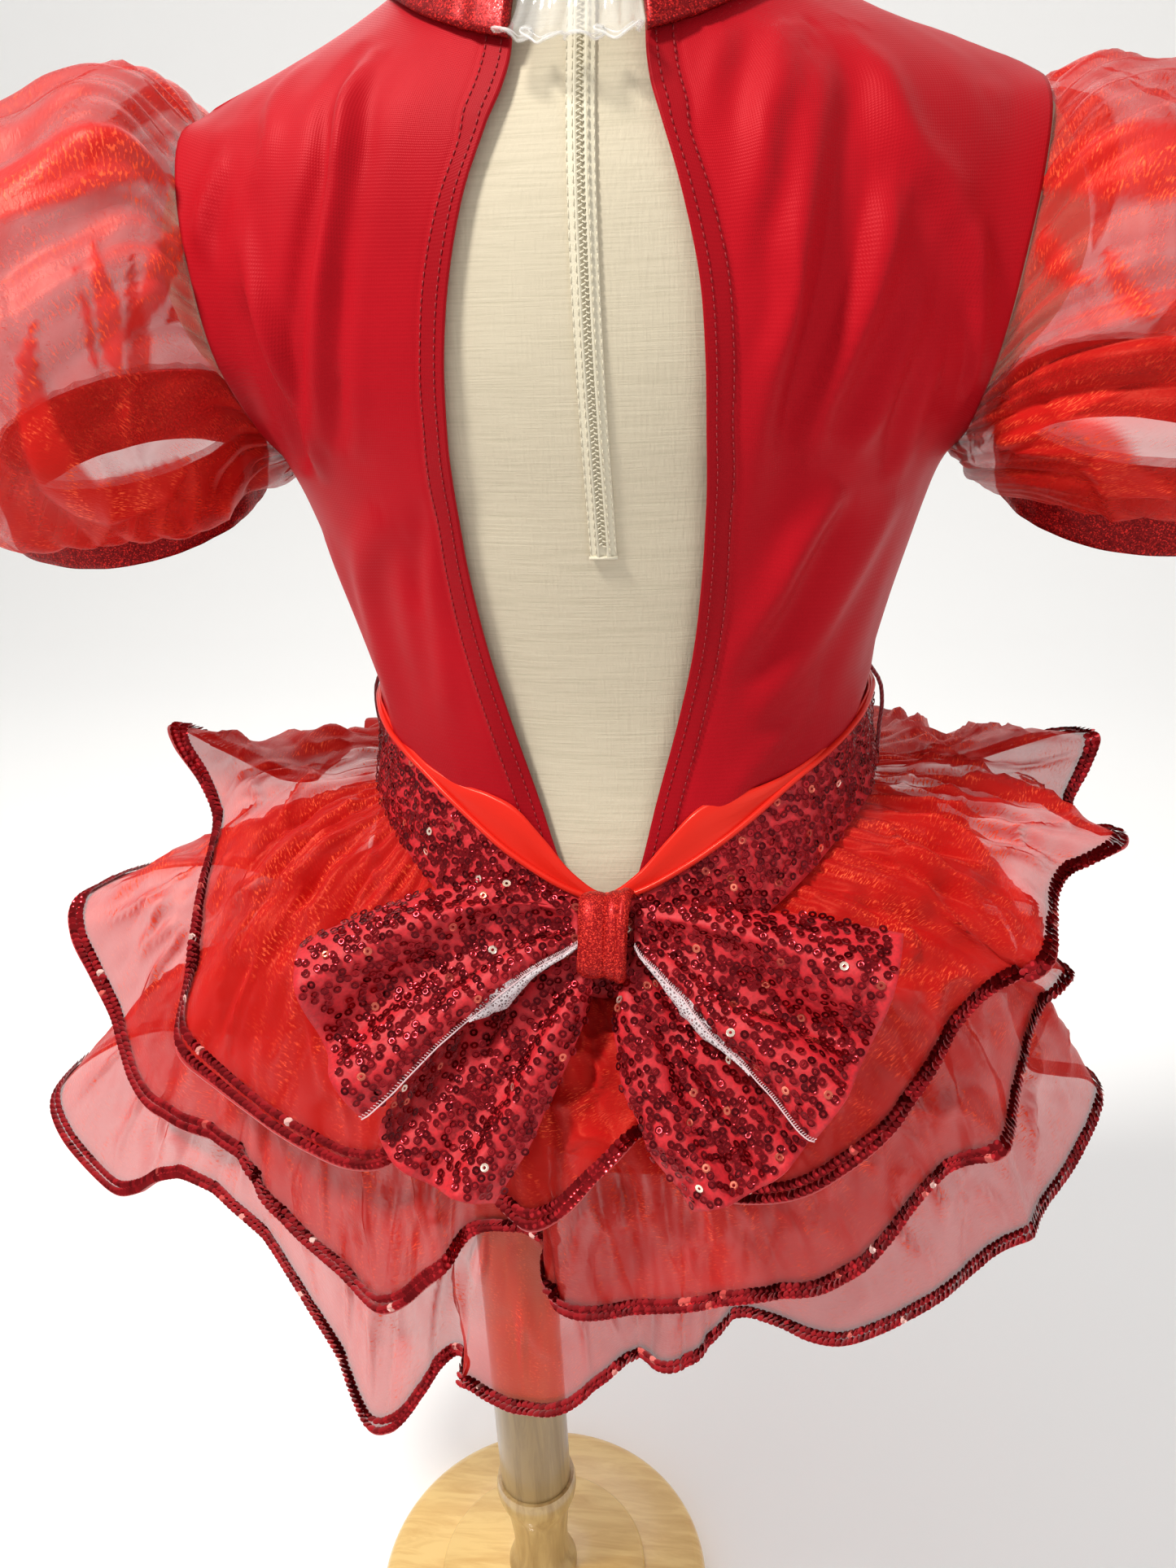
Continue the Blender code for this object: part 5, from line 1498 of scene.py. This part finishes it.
for number, seed in ((1, 2.0), (2, 5.0), (3, 9.0)):
    node = f"skirt_tier_{number}"
    grid, closed = cloth_grid(node, 0.00165, outward=up_and_out)
    ruffle = Cloth(grid, closed, 40, 760)
    for place, reach, tuck in CURLS[number]:
        curl_hem(ruffle, place, reach, tuck)
    rise = ruffle_folds(ruffle, seed)
    ruffle.mark_folds(rise, FOLD_SLOPE)
    ruffle.lift(rise)
    piece = show(node + "_organza", ruffle.mesh(node + "_organza"), sheer, "organza", node)
    hem = ([], [])
    lower_edge = [Vector(p) for p in ruffle.points[-1]]
    tube(lower_edge + lower_edge[:1], HEM_RADIUS, 6, mesh_data=hem)
    hem_piece = show(node + "_hem", raw_mesh(node + "_hem", hem), hem_thread, "thread")
    cups = show(node + "_cups", cup_lines(ruffle), cup_film, "sequin")


# The bow: two wings over two tails of the belt's sequinned jersey, pleated into the knot. Its
# lower wing edges turn over and show the white mesh that backs the cloth.
BOW_LEAN = math.radians(33.0)
BOW_OUT = Vector((0.0, math.cos(BOW_LEAN), math.sin(BOW_LEAN)))
BOW_UP = Vector((0.0, -math.sin(BOW_LEAN), math.cos(BOW_LEAN)))
BOW_ROOT = BODY_AXIS + Vector((-0.004, 0.115, -0.038))

# Valleys and ridges out of the knot: route from the root, rise, half width, dip.
BOW_FOLDS = {
    "bow_wing_left": (
        (((0.50, 0.02), (0.66, 0.22), (0.76, 0.55), (0.80, 0.92)), -0.0052, 0.0045, -0.3),
        (((0.30, 0.05), (0.36, 0.30), (0.40, 0.60)), -0.0022, 0.0050, -0.4),
        (((0.10, 0.10), (0.14, 0.35), (0.15, 0.60)), -0.0016, 0.0045, 0.4),
    ),
    "bow_tail_left": (
        (((0.10, 0.10), (0.16, 0.37), (0.42, 0.66)), -0.0040, 0.0045, 0.3),
        (((0.75, 0.05), (0.72, 0.35), (0.66, 0.65)), 0.0024, 0.0050, -0.5),
        (((0.50, 0.30), (0.60, 0.55), (0.58, 0.85)), -0.0018, 0.0050, 0.4),
    ),
    "bow_wing_right": (
        (((0.44, 0.02), (0.26, 0.24), (0.30, 0.54), (0.46, 0.96)), -0.0052, 0.0045, 0.3),
        (((0.70, 0.05), (0.62, 0.30), (0.62, 0.60)), -0.0022, 0.0050, 0.4),
        (((0.10, 0.30), (0.10, 0.55), (0.16, 0.85)), 0.0020, 0.0050, -0.4),
    ),
    "bow_tail_right": (
        (((0.90, 0.06), (0.70, 0.28), (0.80, 0.56)), -0.0038, 0.0042, -0.3),
        (((0.30, 0.05), (0.36, 0.35), (0.32, 0.70)), 0.0024, 0.0050, 0.5),
        (((0.55, 0.30), (0.52, 0.60), (0.60, 0.88)), -0.0018, 0.0050, -0.4),
    ),
}

# How far each flap's inner edge reaches under or over its neighbour: edge column, reach, depth.
BOW_LAPS = {
    "bow_wing_left": (-1, 0.0050, 0.0012), "bow_tail_left": (0, 0.0105, -0.0030),
    "bow_wing_right": (0, 0.0065, 0.0012), "bow_tail_right": (-1, 0.0080, -0.0030),
}


BOW_THICKNESS = 0.0012


def edge_way(cloth, edge):
    """The direction out of the cloth's first or last column, row by row."""
    inner = 1 if edge == 0 else -2
    way = cloth.points[:, edge] - cloth.points[:, inner]
    return way / np.maximum(np.linalg.norm(way, axis=1, keepdims=True), 1e-9)


def lap(cloth, edge, reach, depth):
    """Draw one long edge of a flap sideways, most of all half way out."""
    way = edge_way(cloth, edge)
    gap = cloth.across if edge == 0 else cloth.width[:, None] - cloth.across
    near = np.clip(1.0 - gap / np.maximum(0.6 * cloth.width[:, None], 1e-6), 0.0, 1.0) ** 1.6
    swell = np.sin(math.pi * np.clip(cloth.share_down * 0.92 + 0.08, 0.0, 1.0)) ** 0.5
    moved = near * swell
    cloth.points = cloth.points + reach * moved[..., None] * way[:, None, :]
    cloth.points = cloth.points + depth * moved[..., None] * np.array(tuple(BOW_OUT))
    cloth.measure()


flaps = {}
for seed, node in enumerate(("bow_tail_left", "bow_tail_right", "bow_wing_left", "bow_wing_right")):
    grid, closed = cloth_grid(node, (0.00158, 0.00162), outward=lambda p: BOW_OUT,
                              first=lambda points: -sum((p - BOW_ROOT).length for p in points) / len(points))
    flap = Cloth(grid, closed, 56, 60)
    lap(flap, *BOW_LAPS[node])
    pleats = sum(pull(flap, *row) for row in BOW_FOLDS[node])
    flap.lift(pleats + 0.0006 * soft_noise(flap.points, 0.025, seed + 70, 2))
    piece = show(node + "_jersey", flap.mesh(node + "_jersey", BOW_THICKNESS), pink_jersey, "sequin", node)
    rings = ring_sequins(node + "_rings", ring_chains(flap, seed + 41), seed + 51)
    flaps[node] = flap

# The white backing mesh that turns over along each wing's lower edge: reach out and in of the
# edge at places down it, then a fine white overlock thread to the wing's corner.
backing, nodes, links, shader = finish("backing_mesh", (0.62, 0.53, 0.55), 0.6)
holes = pattern(nodes, links, "ShaderNodeTexVoronoi", Scale=850.0, feature="DISTANCE_TO_EDGE")
yarn = ramp(nodes, links, holes.outputs["Distance"], [(0.14, (1.0,) * 3), (0.24, (0.25,) * 3)],
            shader.inputs["Alpha"])
relief(nodes, links, shader, yarn.outputs["Color"], 0.0003, 0.6)
overlock = finish("overlock_thread", (0.72, 0.50, 0.52), 0.6)[0]
TURN_OVERS = {
    "bow_wing_left": (-1, ((0.0, 0.0016), (0.15, 0.0026), (0.30, 0.0036),
                           (0.45, 0.0078), (0.54, 0.0060), (0.60, 0.0008))),
    "bow_wing_right": (0, ((0.0, 0.0010), (0.15, 0.0030), (0.30, 0.0062),
                           (0.42, 0.0066), (0.55, 0.0030), (0.68, 0.0010))),
}
for node, (edge, widths) in TURN_OVERS.items():
    flap = flaps[node]
    outward = edge_way(flap, edge)
    edge_line, inward, lines = [], [], []
    for r, way in enumerate(outward):
        share = r / (len(outward) - 1.0)
        if share <= widths[-1][0]:
            width = np.interp(share, *zip(*widths))
            lines.append([flap.points[r, edge] + way * width * u
                          + flap.normals[r, edge] * (0.0011 * (1.0 - u * u) + 0.0012 * math.sin(u * math.pi))
                          for u in np.linspace(-0.30, 1.0, 9)])
        edge_line.append(Vector(flap.points[r, edge] + flap.normals[r, edge] * BOW_THICKNESS))
        inward.append(Vector(-way))
    show(node.replace("wing", "backing"), strip(lines, node + "_backing"), backing, "thread")
    seam = ([], [])
    tube(edge_line, 0.0003, 5, mesh_data=seam)
    for a, b, away in zip(edge_line, edge_line[1:], inward):
        for share in (0.25, 0.75):
            foot = a.lerp(b, share)
            bend = foot + away * 0.0009
            tip = foot + away * 0.0017 + (b - a) * 0.2
            tube([foot, bend, tip], 0.00016, 4, mesh_data=seam)
    show(node.replace("wing", "overlock"), raw_mesh(node + "_overlock", seam), overlock, "thread")


# The knot: a strip of glitter foil wound upright round the middle of the bow, in three laps, with
# a last turn laid slantwise over its right side.
knot_foil = glitter_foil("knot_foil", (0.34, 0.007, 0.008), (0.62, 0.035, 0.022), 2600.0, 0.3, 0.34)
KNOT_LAPS = (
    # middle across at the top and at the foot, half width, lift off the knot
    (0.0046, 0.0046, 0.0060, 0.0000),
    (-0.0040, -0.0030, 0.0044, 0.0005),
    (-0.0078, -0.0050, 0.0028, 0.0015),
)
knot_low, knot_high = (Vector(corner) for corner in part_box("bow_knot"))
knot_middle = (knot_low + knot_high) / 2.0
KNOT_UP, KNOT_OUT = 0.0152, 0.0100
KNOT_TURN = math.radians(112.0)


def knot_lap(top, foot, half_width, lift):
    """One lap of the strip: a crowned band from behind the top, over the front, to behind the foot."""
    lines = []
    for turn in np.linspace(KNOT_TURN, -KNOT_TURN, 22):
        share = 0.5 - turn / (2.0 * KNOT_TURN)
        rise = math.copysign(abs(math.sin(turn)) ** 0.8, turn) * (KNOT_UP + lift)
        out = math.copysign(abs(math.cos(turn)) ** 0.6, math.cos(turn)) * (KNOT_OUT + lift)
        line = []
        for u in np.linspace(-1.0, 1.0, 9):
            crown = 0.0014 * (1.0 - u * u) - 0.0008 * abs(u) ** 4
            x = top + (foot - top) * share + u * half_width * (1.0 - 0.12 * math.cos(turn) ** 2)
            point = knot_middle + Vector((x, 0.0, 0.0)) + BOW_UP * rise + BOW_OUT * out
            line.append(tuple(point + (BOW_UP * rise + BOW_OUT * out).normalized() * crown))
        lines.append(line)
    return np.array(lines)


bm = bmesh.new()
for row in KNOT_LAPS:
    band = Cloth(knot_lap(*row), False, 44, 18)
    if (band.normals.reshape(-1, 3) @ np.array(tuple(BOW_OUT))).mean() < 0.0:
        band = Cloth(knot_lap(*row)[:, ::-1], False, 44, 18)
    part = band.mesh("lap", BOW_THICKNESS)
    bm.from_mesh(part)
    bpy.data.meshes.remove(part)
knot_mesh = bpy.data.meshes.new("knot_wrap")
bm.to_mesh(knot_mesh)
bm.free()
show("knot_wrap", knot_mesh, knot_foil, "knot_foil", "bow_knot")
knot_mesh.set_sharp_from_angle(angle=math.radians(70))
